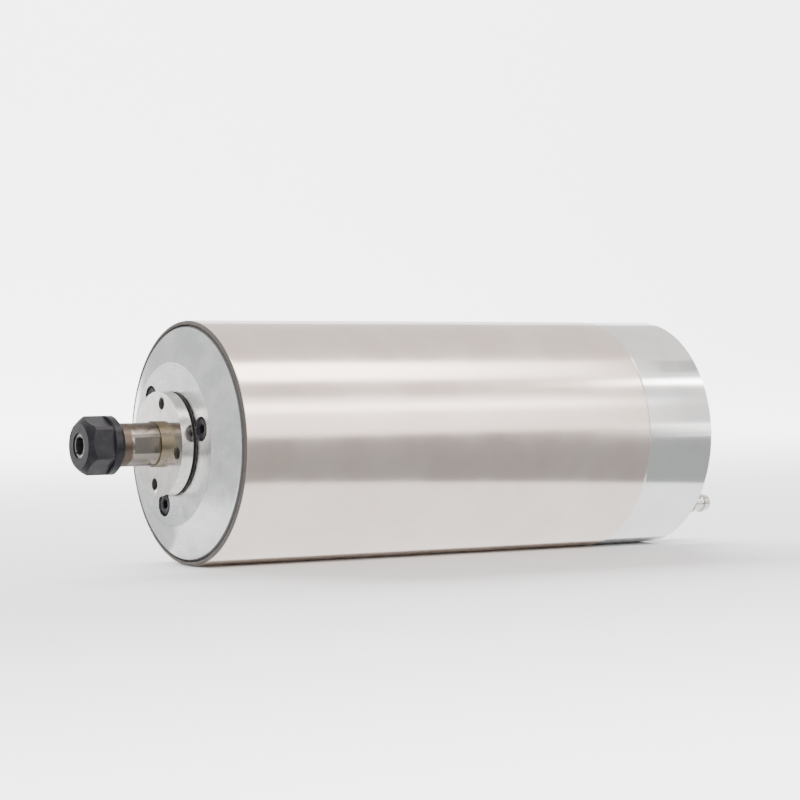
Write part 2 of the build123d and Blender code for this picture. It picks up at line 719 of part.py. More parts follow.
def cap_screw_seat():
    """Where the rear cap's screw heads stand, inside their counterbores."""
    return CAP_FACE - SCREW_SUNK - SCREW_HEAD


def rear_cap():
    """The aluminium cap: spigot in the tube, wiring space, water ways, screw holes and socket hole."""
    outer = CAP_R
    cap = turned(
        (PLATE_BACK, CAVITY_R),
        (PLATE_BACK, INNER_R),
        (TUBE_REAR, INNER_R),
        (TUBE_REAR, outer - SEAM),
        (TUBE_REAR + SEAM, outer),
        (CAP_FACE - CAP_EDGE, outer),
        (CAP_FACE, outer - CAP_EDGE),
        (CAP_FACE, 0),
        (CAP_FACE - CAP_FLOOR, 0),
        (CAP_FACE - CAP_FLOOR, CAVITY_R),
    )
    way = rod(PLATE_BACK, CAP_FACE, SCREW_D / 2 + SHANK_PLAY, z=CAP_SCREW_R)
    way += rod(cap_screw_seat(), CAP_FACE, SCREW_HEAD_D / 2 + HEAD_PLAY, z=CAP_SCREW_R)
    for hole in around(way, CAP_SCREWS, CAP_SCREW_TURN):
        cap -= hole
    for i in (0, CHANNELS - 1):
        cap -= water_way(PLATE_BACK, CAP_FACE, FITTING_R, FITTING_R, PORT_D / 2, i)
        thread_front = CAP_FACE - FITTING_THREAD_LEN - WASHER_T
        cap -= water_way(thread_front, CAP_FACE, FITTING_R, FITTING_R, FITTING_THREAD / 2 + PRESS, i)
    return cap - rod(CAP_FACE - SOCKET_IN, CAP_FACE, SOCKET_R + PRESS, z=SOCKET_UP)


def cap_screws():
    """The long screws that draw the rear cap against the bearing plate."""
    screw = Pos(cap_screw_seat(), 0, CAP_SCREW_R) * Rot(0, 0, 180) * socket_screw(CAP_SCREW_LEN)
    return group(around(screw, CAP_SCREWS, CAP_SCREW_TURN))


def water_fitting(index):
    """A hose barb: thread, hexagon and three barbs with a bore through."""
    face = CAP_FACE + WASHER_T
    barb_start = face + FITTING_HEX
    fitting = rod(face - FITTING_THREAD_LEN, face, FITTING_THREAD / 2)
    fitting += hexagon(face, barb_start, FITTING_AF)
    profile = [(barb_start, 0), (barb_start, BARB_NECK / 2)]
    for i in range(BARBS):
        step = barb_start + (i + 0.4) * BARB_PITCH
        end = barb_start + (i + 1) * BARB_PITCH
        profile += [(step, BARB_NECK / 2), (step, BARB_D / 2), (end, BARB_NECK / 2)]
    profile.append((barb_start + BARBS * BARB_PITCH, 0))
    fitting += turned(*profile)
    fitting -= rod(face - FITTING_THREAD_LEN, barb_start + BARBS * BARB_PITCH, FITTING_BORE / 2)
    return Rot(channel_angle(index), 0, 0) * Pos(0, 0, FITTING_R) * fitting


def fitting_washers():
    """The sealing washers under the two hose barbs."""
    washer = ring(CAP_FACE, CAP_FACE + WASHER_T, FITTING_THREAD / 2 + SLIP, FITTING_AF / 2 + WASHER_RIM)
    return group(Rot(channel_angle(i), 0, 0) * Pos(0, 0, FITTING_R) * washer for i in (0, CHANNELS - 1))


def socket_shell():
    """The round metal shell of the power socket, open to the rear where the plug goes in."""
    bore = SOCKET_R - SOCKET_WALL
    back = SOCKET_SEAT + SOCKET_FLANGE_T + SOCKET_OUT
    shell = turned(
        (CAP_FACE - SOCKET_IN, bore),
        (CAP_FACE - SOCKET_IN, SOCKET_R),
        (SOCKET_SEAT, SOCKET_R),
        (SOCKET_SEAT, SOCKET_FLANGE / 2),
        (SOCKET_SEAT + SOCKET_FLANGE_T, SOCKET_FLANGE / 2),
        (SOCKET_SEAT + SOCKET_FLANGE_T, SOCKET_R),
        (back, SOCKET_R),
        (back, bore),
    )
    return Pos(0, 0, SOCKET_UP) * shell


def socket_gasket():
    """The rubber ring between the socket's flange and the cap."""
    return Pos(0, 0, SOCKET_UP) * ring(CAP_FACE, SOCKET_SEAT, SOCKET_R + SLIP, SOCKET_FLANGE / 2)


def socket_insert():
    """The moulded insulator that holds the contacts."""
    back = SOCKET_SEAT + INSERT_OUT
    insert = ring(back - INSERT_T, back, 0, SOCKET_R - SOCKET_WALL - SLIP)
    hole = rod(back - INSERT_T, back, CONTACT_D / 2 + PRESS, z=CONTACT_PCD / 2)
    for way in around(hole, CONTACTS, 180 / CONTACTS):
        insert -= way
    return Pos(0, 0, SOCKET_UP) * insert


def socket_contacts():
    """The round contact pins, with solder tails inside the cap."""
    back = SOCKET_SEAT + INSERT_OUT
    pin = rod(back - INSERT_T - CONTACT_TAIL, back + CONTACT_OUT, CONTACT_D / 2, z=CONTACT_PCD / 2)
    tip = pin.edges().sort_by(Axis.X)[-1]
    pin = fillet(tip, CONTACT_D / 4)
    return group(Pos(0, 0, SOCKET_UP) * placed for placed in around(pin, CONTACTS, 180 / CONTACTS))


PIECES = {
    "body_tube": body_tube(),
    "front_flange": front_flange(),
    "front_bearing_cover": front_bearing_cover(),
    "cover_screws": cover_screws(),
    "labyrinth_nut": labyrinth_nut(),
    "spindle_shaft": spindle_shaft(),
    "collet": collet(),
    "collet_nut": collet_nut(),
    "outer_spacer": ring(SPACER_FRONT, BEARING_B, PITCH_R + RACE_LAND + RACE_CUT, BEARING_OD / 2),
    "inner_spacer": ring(SPACER_FRONT, BEARING_B, BEARING_BORE / 2, PITCH_R - RACE_LAND),
    "preload_spring": preload_spring(),
    "tail_lock_nut": tail_lock_nut(),
    "rotor_core": rotor_core(),
    "rotor_cage": rotor_cage(),
    "front_balance_ring": balance_ring(STATOR_FRONT - END_RING - BALANCE_RING, FRONT_DRILL_TURN),
    "rear_balance_ring": balance_ring(STATOR_REAR + END_RING, REAR_DRILL_TURN),
    "stator_core": stator_core(),
    "stator_windings": stator_windings(),
    "water_jacket": water_jacket(),
    "jacket_rings": jacket_rings(),
    "rear_bearing_plate": rear_bearing_plate(),
    "rear_cap": rear_cap(),
    "cap_screws": cap_screws(),
    "water_inlet_fitting": water_fitting(0),
    "water_outlet_fitting": water_fitting(CHANNELS - 1),
    "fitting_washers": fitting_washers(),
    "socket_shell": socket_shell(),
    "socket_gasket": socket_gasket(),
    "socket_insert": socket_insert(),
    "socket_contacts": socket_contacts(),
}
BEARINGS = {  # where each bearing starts, and which side of its outer ring is open
    "front_bearing_a": (BEARING_A, -1),
    "front_bearing_b": (BEARING_B, 1),
    "rear_bearing": (BEARING_C, -1),
}
for name, (station, open_side) in BEARINGS.items():
    PIECES[name + "_outer_ring"] = bearing_outer(station, open_side)
    PIECES[name + "_inner_ring"] = bearing_inner(station)
    PIECES[name + "_balls"] = bearing_balls(station)
    PIECES[name + "_cage"] = bearing_cage(station)

os.makedirs("parts", exist_ok=True)
for name, shape in PIECES.items():
    export_step(shape, f"parts/{name}.step")
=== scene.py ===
import json
import logging
import math
from dataclasses import dataclass
from enum import Enum
from typing import Callable, Iterable, Sequence

import bpy
from mathutils import Matrix, Vector


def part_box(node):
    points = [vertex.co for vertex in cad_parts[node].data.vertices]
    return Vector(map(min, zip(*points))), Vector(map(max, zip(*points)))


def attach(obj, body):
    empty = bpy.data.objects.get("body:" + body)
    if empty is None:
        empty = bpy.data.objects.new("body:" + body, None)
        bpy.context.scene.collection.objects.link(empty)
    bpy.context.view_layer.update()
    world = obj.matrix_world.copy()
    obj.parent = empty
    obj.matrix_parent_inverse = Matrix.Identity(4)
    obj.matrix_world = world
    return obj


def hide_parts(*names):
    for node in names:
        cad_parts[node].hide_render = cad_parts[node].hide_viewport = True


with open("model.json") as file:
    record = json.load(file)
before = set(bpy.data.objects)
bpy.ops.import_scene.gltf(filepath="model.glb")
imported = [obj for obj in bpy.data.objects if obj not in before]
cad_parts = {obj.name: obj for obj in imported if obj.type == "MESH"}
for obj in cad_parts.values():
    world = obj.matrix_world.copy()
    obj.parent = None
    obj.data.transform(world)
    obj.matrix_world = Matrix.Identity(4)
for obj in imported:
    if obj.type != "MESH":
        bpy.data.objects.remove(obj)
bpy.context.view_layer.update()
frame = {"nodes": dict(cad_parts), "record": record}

LOG = logging.getLogger("motor_spindle")
MM = 0.001
HOUSING, ROTOR, COLLET, NUT = "housing", "rotor", "collet", "nut"
FITTING_CIRCLE = 28.0 * MM  # from the spindle's axis to each hose barb's
FITTING_TURNS = (202.5, 157.5)  # the inlet's and the outlet's angle, from +Z towards -Y
Point = tuple[float, float]
Piece = bpy.types.Object
Material = bpy.types.Material


# ------------------------------------------------------------------ shader values
def operator(operation: str, swapped: bool = False) -> Callable[["Value", "Value | float"], "Value"]:
    """A Python operator for values, which adds a Math node.

    Args:
        operation: what the node does.
        swapped: whether the other value comes first.

    Returns:
        The operator's method.
    """

    def act(self: "Value", other: "Value | float") -> "Value":
        """Add the node and return its result."""
        return self.graph.math(operation, *((other, self) if swapped else (self, other)))

    return act


class Value:
    """A socket that takes part in Python expressions, each adding its Math node."""

    __add__ = __radd__ = operator("ADD")
    __sub__ = operator("SUBTRACT")
    __rsub__ = operator("SUBTRACT", swapped=True)
    __mul__ = operator("MULTIPLY")
    __pow__ = operator("POWER")

    def __init__(self, graph: "Graph", socket: bpy.types.NodeSocket) -> None:
        """Keep the socket and the graph it belongs to."""
        self.graph = graph
        self.socket = socket

    def above(self, edge: float, soft: float) -> "Value":
        """A mask that rises from 0 to 1 over a soft width centred on an edge.

        Args:
            edge: where the mask is one half.
            soft: width of the rise.

        Returns:
            The mask.
        """
        wiring = {"Value": self, "From Min": edge - soft / 2, "From Max": edge + soft / 2}
        node = self.graph.node("ShaderNodeMapRange", {"interpolation_type": "SMOOTHSTEP"}, wiring)
        return Value(self.graph, node.outputs["Result"])

    def wave(self) -> "Value":
        """Sine of the value."""
        return self.graph.math("SINE", self, 0.0)


class Graph:
    """The node tree of one finish, with its principled shader."""

    def __init__(self, name: str) -> None:
        """Start an empty material.

        Args:
            name: the material's name.
        """
        self.material = bpy.data.materials.new(name)
        self.material.use_nodes = True
        self.tree = self.material.node_tree
        self.tree.nodes.clear()
        self.shader = self.tree.nodes.new("ShaderNodeBsdfPrincipled")
        output = self.tree.nodes.new("ShaderNodeOutputMaterial")
        self.tree.links.new(self.shader.outputs["BSDF"], output.inputs["Surface"])

    def node(self, kind: str, settings: dict, inputs: dict) -> bpy.types.Node:
        """Add a node.

        Args:
            kind: the node's type.
            settings: its own properties, set first.
            inputs: socket names or indices with a number, colour or Value for each.

        Returns:
            The new node.
        """
        made = self.tree.nodes.new(kind)
        for key, setting in settings.items():
            setattr(made, key, setting)
        for key, wanted in inputs.items():
            self.feed(made.inputs[key], wanted)
        return made

    def feed(self, socket: bpy.types.NodeSocket, wanted: "Value | float | Sequence[float]") -> None:
        """Link a value to a socket, or set a constant on it.

        Args:
            socket: the socket.
            wanted: the value or the constant.
        """
        if isinstance(wanted, Value):
            self.tree.links.new(wanted.socket, socket)
        else:
            socket.default_value = wanted

    def math(self, operation: str, left: "Value | float", right: "Value | float") -> Value:
        """Add a Math node and return its result."""
        made = self.node("ShaderNodeMath", {"operation": operation}, {0: left, 1: right})
        return Value(self, made.outputs[0])

    def axes(self) -> tuple[Value, Value, Value]:
        """The piece's own coordinates, in metres.

        Returns:
            The coordinates along X, Y and Z.
        """
        place = self.node("ShaderNodeTexCoord", {}, {})
        split = self.node("ShaderNodeSeparateXYZ", {}, {0: Value(self, place.outputs["Object"])})
        return tuple(Value(self, split.outputs[axis]) for axis in "XYZ")

    def place(self, stretch: Sequence[float] = (1.0, 1.0, 1.0)) -> Value:
        """The piece's own coordinates as a vector, stretched along each axis.

        Args:
            stretch: factors for the three axes.

        Returns:
            The vector.
        """
        place = self.node("ShaderNodeTexCoord", {}, {})
        wiring = {0: Value(self, place.outputs["Object"]), 1: stretch}
        scaled = self.node("ShaderNodeVectorMath", {"operation": "MULTIPLY"}, wiring)
        return Value(self, scaled.outputs[0])

    def noise(self, per_metre: float, detail: float, stretch: Sequence[float] = (1.0, 1.0, 1.0)) -> Value:
        """Soft random variation between 0 and 1.

        Args:
            per_metre: how many blotches lie along a metre.
            detail: how much finer variation is laid over them.
            stretch: factors for the three axes.

        Returns:
            The variation.
        """
        wiring = {"Vector": self.place(stretch), "Scale": per_metre, "Detail": detail, "Roughness": 0.55}
        made = self.node("ShaderNodeTexNoise", {}, wiring)
        return Value(self, made.outputs[0])

    def strand(self, along: Value, per_metre: float) -> Value:
        """Random variation along one value only, as tool marks have."""
        made = self.node("ShaderNodeTexNoise", {"noise_dimensions": "1D"}, {"W": along, "Scale": per_metre})
        return Value(self, made.outputs[0])

    def mix(
        self, share: "Value | float", first: "Value | Sequence[float]", second: "Value | Sequence[float]"
    ) -> Value:
        """Blend two colours.

        Args:
            share: 0 for the first colour, 1 for the second.
            first: a colour.
            second: a colour.

        Returns:
            The blended colour.
        """
        made = self.node("ShaderNodeMix", {"data_type": "RGBA"}, {0: share, 6: first, 7: second})
        return Value(self, made.outputs[2])

    def relief(self, height: Value, depth: float) -> None:
        """Raise and sink the surface by a height between 0 and 1.

        Args:
            height: the relief.
            depth: metres between its lowest and highest point.
        """
        bump = self.node("ShaderNodeBump", {}, {"Height": height, "Distance": depth, "Strength": 1.0})
        self.tree.links.new(bump.outputs["Normal"], self.shader.inputs["Normal"])

    def set(self, **sockets: "Value | float | Sequence[float]") -> Material:
        """Feed the shader's sockets, named with underscores for spaces, and return the material.

        Args:
            sockets: a value or a constant for each socket.

        Returns:
            The finished material.
        """
        for key, wanted in sockets.items():
            self.feed(self.shader.inputs[key.replace("_", " ")], wanted)
        return self.material


def tone(red: float, green: float, blue: float) -> tuple[float, float, float, float]:
    """A colour with full alpha."""
    return (red, green, blue, 1.0)


# ------------------------------------------------------------------ finishes
@dataclass(frozen=True)
class ShadeZone:
    """A zone of painted shade on a turned piece, between two stations and two radii."""

    front: float
    back: float
    inner: float
    outer: float
    soft: float = 0.2 * MM

    def mask(self, x: Value, radius: Value) -> Value:
        """The zone as a mask."""
        along = x.above(self.front, self.soft) * (1.0 - x.above(self.back, self.soft))
        return along * radius.above(self.inner, self.soft) * (1.0 - radius.above(self.outer, self.soft))


@dataclass(frozen=True)
class TurnedMetal:
    """Metal with fine lathe marks round X, faint blotches, a little roughness variation and painted shade in
    the zones it is given.
    """

    name: str
    light: tuple = tone(0.80, 0.80, 0.80)
    dark: tuple = tone(0.72, 0.72, 0.72)
    roughness: float = 0.2
    unevenness: float = 0.06
    marks_per_metre: float = 2600.0
    mark_depth: float = 0.4e-6
    blotches: float = 45.0
    wave_depth: float = 0.04 * MM
    # Zones of painted shade, and the near-black colour painted there.
    shade_zones: tuple = ()
    shade_colour: tuple = tone(0.030, 0.028, 0.026)

    def paint(self) -> Material:
        """Build the material.

        Returns:
            The finished material.
        """
        graph = Graph(self.name)
        x, y, z = graph.axes()
        radius = (y * y + z * z) ** 0.5
        feed = x + radius
        marks = graph.strand(feed, self.marks_per_metre)
        cloud = graph.noise(self.blotches, 3.0)
        swell = graph.noise(24.0, 1.0)
        graph.relief(marks * self.mark_depth + swell * self.wave_depth, 1.0)
        metal = graph.mix(cloud.above(0.5, 0.35), self.dark, self.light)
        roughness = self.roughness + (cloud - 0.5) * self.unevenness + (marks - 0.5) * self.unevenness
        if not self.shade_zones:
            return graph.set(Base_Color=metal, Roughness=roughness, Metallic=1.0)
        # Painted shade: in its zones the colour darkens towards the near-black, with more roughness and less
        # metal.
        painted_shade = sum((shade_zone.mask(x, radius) for shade_zone in self.shade_zones[1:]), self.shade_zones[0].mask(x, radius))
        return graph.set(
            Base_Color=graph.mix(painted_shade * 0.92, metal, self.shade_colour),
            Roughness=roughness + painted_shade * 0.3,
            Metallic=1.0 - painted_shade * 0.6,
        )


@dataclass(frozen=True)
class ShaftSteel:
    """Ground steel with a brown tarnished band beside the nut, old grease at the root and painted shade
    darkening its top.
    """

    name: str
    tarnish_from: float
    tarnish_to: float
    grease_from: float
    steel: tuple = tone(0.21, 0.192, 0.175)
    # Colour of the tarnished band, also used as painted shade on the top.
    tarnish_and_shade: tuple = tone(0.075, 0.055, 0.040)
    grease: tuple = tone(0.22, 0.185, 0.115)

    def paint(self) -> Material:
        """Build the material.

        Returns:
            The finished material.
        """
        graph = Graph(self.name)
        x, _, z = graph.axes()
        blotch = graph.noise(420.0, 4.0)
        scratches = graph.noise(900.0, 2.0, (6.0, 0.6, 0.6))
        wobble = x + (blotch - 0.5) * 2.0 * MM
        band = wobble.above(self.tarnish_from, 0.4 * MM) * (1.0 - wobble.above(self.tarnish_to, 0.8 * MM))
        film = wobble.above(self.grease_from, 2.5 * MM) * blotch.above(0.42, 0.3)
        # Painted shade: the top of the shaft, above about 4.6 mm, darkens towards the tarnish colour,
        # standing for a dark reflection.
        top = (z + (blotch - 0.5) * 5.0 * MM).above(4.6 * MM, 2.4 * MM)
        stained_and_shaded = graph.mix((band + top * (1.0 - band)) * 0.85, self.steel, self.tarnish_and_shade)
        graph.relief(scratches, 1.5e-6)
        return graph.set(
            Base_Color=graph.mix(film * 0.7, stained_and_shaded, self.grease),
            Roughness=0.24 + band * 0.16 + top * 0.12 + film * 0.12 + (scratches - 0.5) * 0.12,
            Metallic=1.0,
        )


@dataclass(frozen=True)
class BlackOxide:
    """Blackened steel: a dark, slightly oily skin, a touch lighter where it is blotched."""

    name: str
    skin: tuple = tone(0.010, 0.010, 0.013)
    worn: tuple = tone(0.020, 0.020, 0.025)
    roughness: float = 0.34

    def paint(self) -> Material:
        """Build the material.

        Returns:
            The finished material.
        """
        graph = Graph(self.name)
        cloud = graph.noise(260.0, 4.0)
        grain = graph.noise(5200.0, 2.0)
        graph.relief(grain, 2.5e-6)
        return graph.set(
            Base_Color=graph.mix(cloud.above(0.55, 0.4), self.skin, self.worn),
            Roughness=self.roughness + (cloud - 0.5) * 0.06 + (grain - 0.5) * 0.06,
            Metallic=0.1,
            Specular_IOR_Level=0.2,
        )


@dataclass(frozen=True)
class PlainMetal:
    """Metal for inner and small pieces: blotched colour and a fine grain."""

    name: str
    light: tuple
    dark: tuple
    roughness: float = 0.3
    grain_per_metre: float = 3000.0
    grain_depth: float = 2.0e-6

    def paint(self) -> Material:
        """Build the material.

        Returns:
            The finished material.
        """
        graph = Graph(self.name)
        cloud = graph.noise(180.0, 3.0)
        grain = graph.noise(self.grain_per_metre, 2.0)
        graph.relief(grain, self.grain_depth)
        return graph.set(
            Base_Color=graph.mix(cloud, self.dark, self.light),
            Roughness=self.roughness + (cloud - 0.5) * 0.12,
            Metallic=1.0,
        )


@dataclass(frozen=True)
class SheetStack:
    """Electrical steel sheets seen edge on, as fine stripes along X."""

    name: str
    sheet: float = 0.5 * MM

    def paint(self) -> Material:
        """Build the material.

        Returns:
            The finished material.
        """
        graph = Graph(self.name)
        x, _, _ = graph.axes()
        stripe = (x * (2 * math.pi / self.sheet)).wave() * 0.5 + 0.5
        cloud = graph.noise(160.0, 3.0)
        graph.relief(stripe, 0.04 * MM)
        return graph.set(
            Base_Color=graph.mix(stripe * 0.6 + cloud * 0.3, tone(0.16, 0.16, 0.18), tone(0.40, 0.40, 0.42)),
            Roughness=0.42 + (cloud - 0.5) * 0.2,
            Metallic=0.9,
        )


@dataclass(frozen=True)
class WoundCopper:
    """Varnished winding wire, as ridges round the bundle."""

    name: str
    wire: float = 0.7 * MM

    def paint(self) -> Material:
        """Build the material.

        Returns:
            The finished material.
        """
        graph = Graph(self.name)
        x, y, z = graph.axes()
        lay = (y * y + z * z) ** 0.5 + (graph.noise(160.0, 2.0) - 0.5) * 3.0 * MM
        strand = ((x + lay) * (2 * math.pi / self.wire)).wave() * 0.5 + 0.5
        graph.relief(strand, 0.12 * MM)
        return graph.set(
            Base_Color=graph.mix(strand, tone(0.24, 0.09, 0.035), tone(0.62, 0.27, 0.10)),
            Roughness=0.38 + (strand - 0.5) * 0.1,
            Metallic=0.75,
            Coat_Weight=0.35,
        )


@dataclass(frozen=True)
class Moulded:
    """Rubber, resin or plastic: a fine moulded grain with faint dust."""

    name: str
    body: tuple
    dust: tuple
    roughness: float = 0.55
    grain_per_metre: float = 4000.0

    def paint(self) -> Material:
        """Build the material.

        Returns:
            The finished material.
        """
        graph = Graph(self.name)
        cloud = graph.noise(210.0, 4.0)
        grain = graph.noise(self.grain_per_metre, 2.0)
        graph.relief(grain, 6.0e-6)
        return graph.set(
            Base_Color=graph.mix(cloud.above(0.6, 0.5) * 0.6, self.body, self.dust),
            Roughness=self.roughness + (grain - 0.5) * 0.14,
        )


# ------------------------------------------------------------------ modelling bench
class Bench:
    """The modelling operations that every piece is made with."""

    STEPS = 192
    FEW_SIDES = 12
    THREAD_STEPS = 64
    THREAD_DEPTH = 0.62
    THREAD_FOOT = 0.98
    THREAD_SMOOTH = math.radians(30)
    MERGE = 1e-7
    SHARP = math.radians(24)
    SMOOTH = math.radians(40)

    @staticmethod
    def clear() -> None:
        """Select nothing, in object mode."""
        if bpy.context.mode != "OBJECT":
            bpy.ops.object.mode_set(mode="OBJECT")
        bpy.ops.object.select_all(action="DESELECT")

    @staticmethod
    def take(piece: Piece) -> None:
        """Make a piece the only selected one, and the active one.

        Args:
            piece: the piece.
        """
        Bench.clear()
        piece.select_set(True)
        bpy.context.view_layer.objects.active = piece

    @staticmethod
    def applied(piece: Piece, kind: str, **settings: object) -> None:
        """Give a piece a modifier and apply it at once.

        Args:
            piece: the piece.
            kind: the modifier's type.
            settings: its own properties.
        """
        Bench.take(piece)
        modifier = piece.modifiers.new(kind.lower(), kind)
        for key, setting in settings.items():
            setattr(modifier, key, setting)
        bpy.ops.object.modifier_apply(modifier=modifier.name)

    @staticmethod
    def turned(name: str, section: Sequence[Point], steps: int = STEPS) -> Piece:
        """Turn a piece: draw its half section by extruding one vertex, then spin that round X.

        Args:
            name: the piece's name.
            section: corners of the closed half section, as (x, radius).
            steps: facets round the turn.

        Returns:
            The turned piece.
        """
        Bench.clear()
        bpy.ops.mesh.primitive_plane_add(size=MM)
        piece = bpy.context.active_object
        piece.name = name
        bpy.ops.object.mode_set(mode="EDIT")
        bpy.ops.mesh.merge(type="CENTER")
        corners = [Vector((x, 0.0, radius)) for x, radius in (*section, section[0])]
        bpy.ops.transform.translate(value=corners[0])
        for start, end in zip(corners, corners[1:]):
            bpy.ops.mesh.extrude_vertices_move(TRANSFORM_OT_translate={"value": end - start})
        bpy.ops.mesh.select_all(action="SELECT")
        bpy.ops.mesh.remove_doubles(threshold=Bench.MERGE)
        bpy.ops.mesh.spin(steps=steps, angle=2 * math.pi, center=(0, 0, 0), axis=(1, 0, 0))
        bpy.ops.mesh.select_all(action="SELECT")
        bpy.ops.mesh.remove_doubles(threshold=2 * Bench.MERGE)
        bpy.ops.mesh.normals_make_consistent(inside=False)
        bpy.ops.object.mode_set(mode="OBJECT")
        return piece

    @staticmethod
    def arc(x: float, radius: float, bend: float, first: float, last: float, steps: int = 8) -> list[Point]:
        """Corners along an arc of a half section.

        Args:
            x: the arc's centre along the axis.
            radius: the arc's centre out from the axis.
            bend: the arc's own radius.
            first: angle of its start in degrees, from the rear towards outwards.
            last: angle of its end.
            steps: number of straight pieces.

        Returns:
            The corners.
        """
        turns = [math.radians(first + (last - first) * i / steps) for i in range(steps + 1)]
        return [(x + bend * math.cos(turn), radius + bend * math.sin(turn)) for turn in turns]

    @staticmethod
    def thread(name: str, front: float, back: float, radius: float, pitch: float) -> Piece:
        """A thread's ridge, wound from one triangle with the Screw modifier and closed at both ends.

        Args:
            name: its name.
            front: where it starts.
            back: where it ends.
            radius: of its crest.
            pitch: from one turn to the next.

        Returns:
            The ridge, with its foot sunk a little into whatever carries it.
        """
        Bench.clear()
        bpy.ops.mesh.primitive_circle_add(vertices=3, radius=0.5 * pitch, fill_type="NOTHING")
        ridge = bpy.context.active_object
        ridge.name = name
        foot, back_foot = radius - Bench.THREAD_DEPTH * pitch, front + Bench.THREAD_FOOT * pitch
        corners = ((front, foot), (front + pitch / 2, radius), (back_foot, foot))
        for vertex, (x, out) in zip(ridge.data.vertices, corners):
            vertex.co = (x, 0.0, out)
        steps = Bench.THREAD_STEPS
        Bench.applied(ridge, "SCREW", axis="X", angle=2 * math.pi, screw_offset=pitch,
                      iterations=int((back - front) / pitch), steps=steps, render_steps=steps)
        bpy.ops.object.mode_set(mode="EDIT")
        bpy.ops.mesh.select_all(action="SELECT")
        bpy.ops.mesh.remove_doubles(threshold=Bench.MERGE)
        bpy.ops.mesh.fill_holes(sides=3)
        bpy.ops.mesh.normals_make_consistent(inside=False)
        bpy.ops.object.mode_set(mode="OBJECT")
        bpy.ops.object.shade_smooth_by_angle(angle=Bench.THREAD_SMOOTH)
        return ridge

    @staticmethod
    def placed(piece: Piece, height: float, turn: float = 0.0) -> Piece:
        """Lift a piece off the axis, then turn it about the axis."""
        piece.matrix_world = Matrix.Translation((0.0, 0.0, height)) @ piece.matrix_world
        return Bench.turn(piece, turn)

    @staticmethod
    def bar(front: float, back: float, radius: float, height: float = 0.0, sides: int = 48) -> Piece:
        """A tool shape: a bar along X whose centre is at a height above the axis.

        Args:
            front: where it starts.
            back: where it ends.
            radius: its radius, to the flats where it has few sides.
            height: its centre above the axis.
            sides: its number of sides.

        Returns:
            The bar.
        """
        Bench.clear()
        reach = radius / math.cos(math.pi / sides) if sides < Bench.FEW_SIDES else radius
        middle = ((front + back) / 2, 0.0, height)
        bpy.ops.mesh.primitive_cylinder_add(
            vertices=sides, radius=reach, depth=back - front, location=middle, rotation=(0, math.pi / 2, 0)
        )
        return Bench.settled(bpy.context.active_object)

    @staticmethod
    def block(low: Sequence[float], high: Sequence[float]) -> Piece:
        """A tool shape: a block between two corners.

        Args:
            low: its lowest corner.
            high: its highest corner.

        Returns:
            The block.
        """
        Bench.clear()
        middle = [(a + b) / 2 for a, b in zip(low, high)]
        bpy.ops.mesh.primitive_cube_add(size=1.0, location=middle)
        block = bpy.context.active_object
        block.scale = [b - a for a, b in zip(low, high)]
        return Bench.settled(block)

    @staticmethod
    def settled(piece: Piece) -> Piece:
        """Put a piece's place, turn and size into its mesh.

        Args:
            piece: the piece.

        Returns:
            The piece, at the origin, unturned and unscaled.
        """
        Bench.take(piece)
        bpy.ops.object.transform_apply(location=True, rotation=True, scale=True)
        return piece

    @staticmethod
    def turn(piece: Piece, degrees: float) -> Piece:
        """Turn a piece about X; angles run from +Z towards -Y."""
        piece.matrix_world = Matrix.Rotation(math.radians(degrees), 4, "X") @ piece.matrix_world
        return Bench.settled(piece)

    @staticmethod
    def around(piece: Piece, count: int, first: float = 0.0) -> list[Piece]:
        """Copies of a piece spread evenly round X, each with its own mesh.

        Args:
            piece: the piece to copy, which becomes the first of them.
            count: how many there are in all.
            first: the first one's angle in degrees.

        Returns:
            All of them.
        """
        copies = [piece]
        for _ in range(count - 1):
            Bench.take(piece)
            bpy.ops.object.duplicate(linked=False)
            copies.append(bpy.context.active_object)
        return [Bench.turn(copy, first + 360.0 * i / count) for i, copy in enumerate(copies)]

    @staticmethod
    def joined(name: str, pieces: Iterable[Piece]) -> Piece:
        """Join pieces into one object.

        Args:
            name: the object's name.
            pieces: two or more pieces.

        Returns:
            The object.
        """
        pieces = list(pieces)
        Bench.take(pieces[0])
        for piece in pieces[1:]:
            piece.select_set(True)
        bpy.ops.object.join()
        pieces[0].name = name
        return pieces[0]

    @staticmethod
    def cut(piece: Piece, tools: Iterable[Piece]) -> None:
        """Take tool shapes away from a piece; they are used up.

        Args:
            piece: the piece.
            tools: the tool shapes.
        """
        for tool in tools:
            Bench.applied(piece, "BOOLEAN", operation="DIFFERENCE", solver="EXACT", object=tool)
            bpy.data.objects.remove(tool, do_unlink=True)

    @staticmethod
    def finished(piece: Piece, edge: float, segments: int = 3) -> Piece:
        """Break a piece's sharp edges and shade it smooth.

        Args:
            piece: the piece.
            edge: width of the broken edges.
            segments: facets across each.

        Returns:
            The piece.
        """
        Bench.take(piece)
        bpy.ops.object.mode_set(mode="EDIT")
        bpy.ops.mesh.select_all(action="SELECT")
        bpy.ops.mesh.dissolve_degenerate(threshold=Bench.MERGE)
        bpy.ops.object.mode_set(mode="OBJECT")
        Bench.applied(piece, "BEVEL", width=edge, segments=segments, limit_method="ANGLE",
                      angle_limit=Bench.SHARP, use_clamp_overlap=True)
        bpy.ops.object.shade_smooth_by_angle(angle=Bench.SMOOTH)
        Bench.applied(piece, "WEIGHTED_NORMAL", keep_sharp=True, weight=60)
        return piece


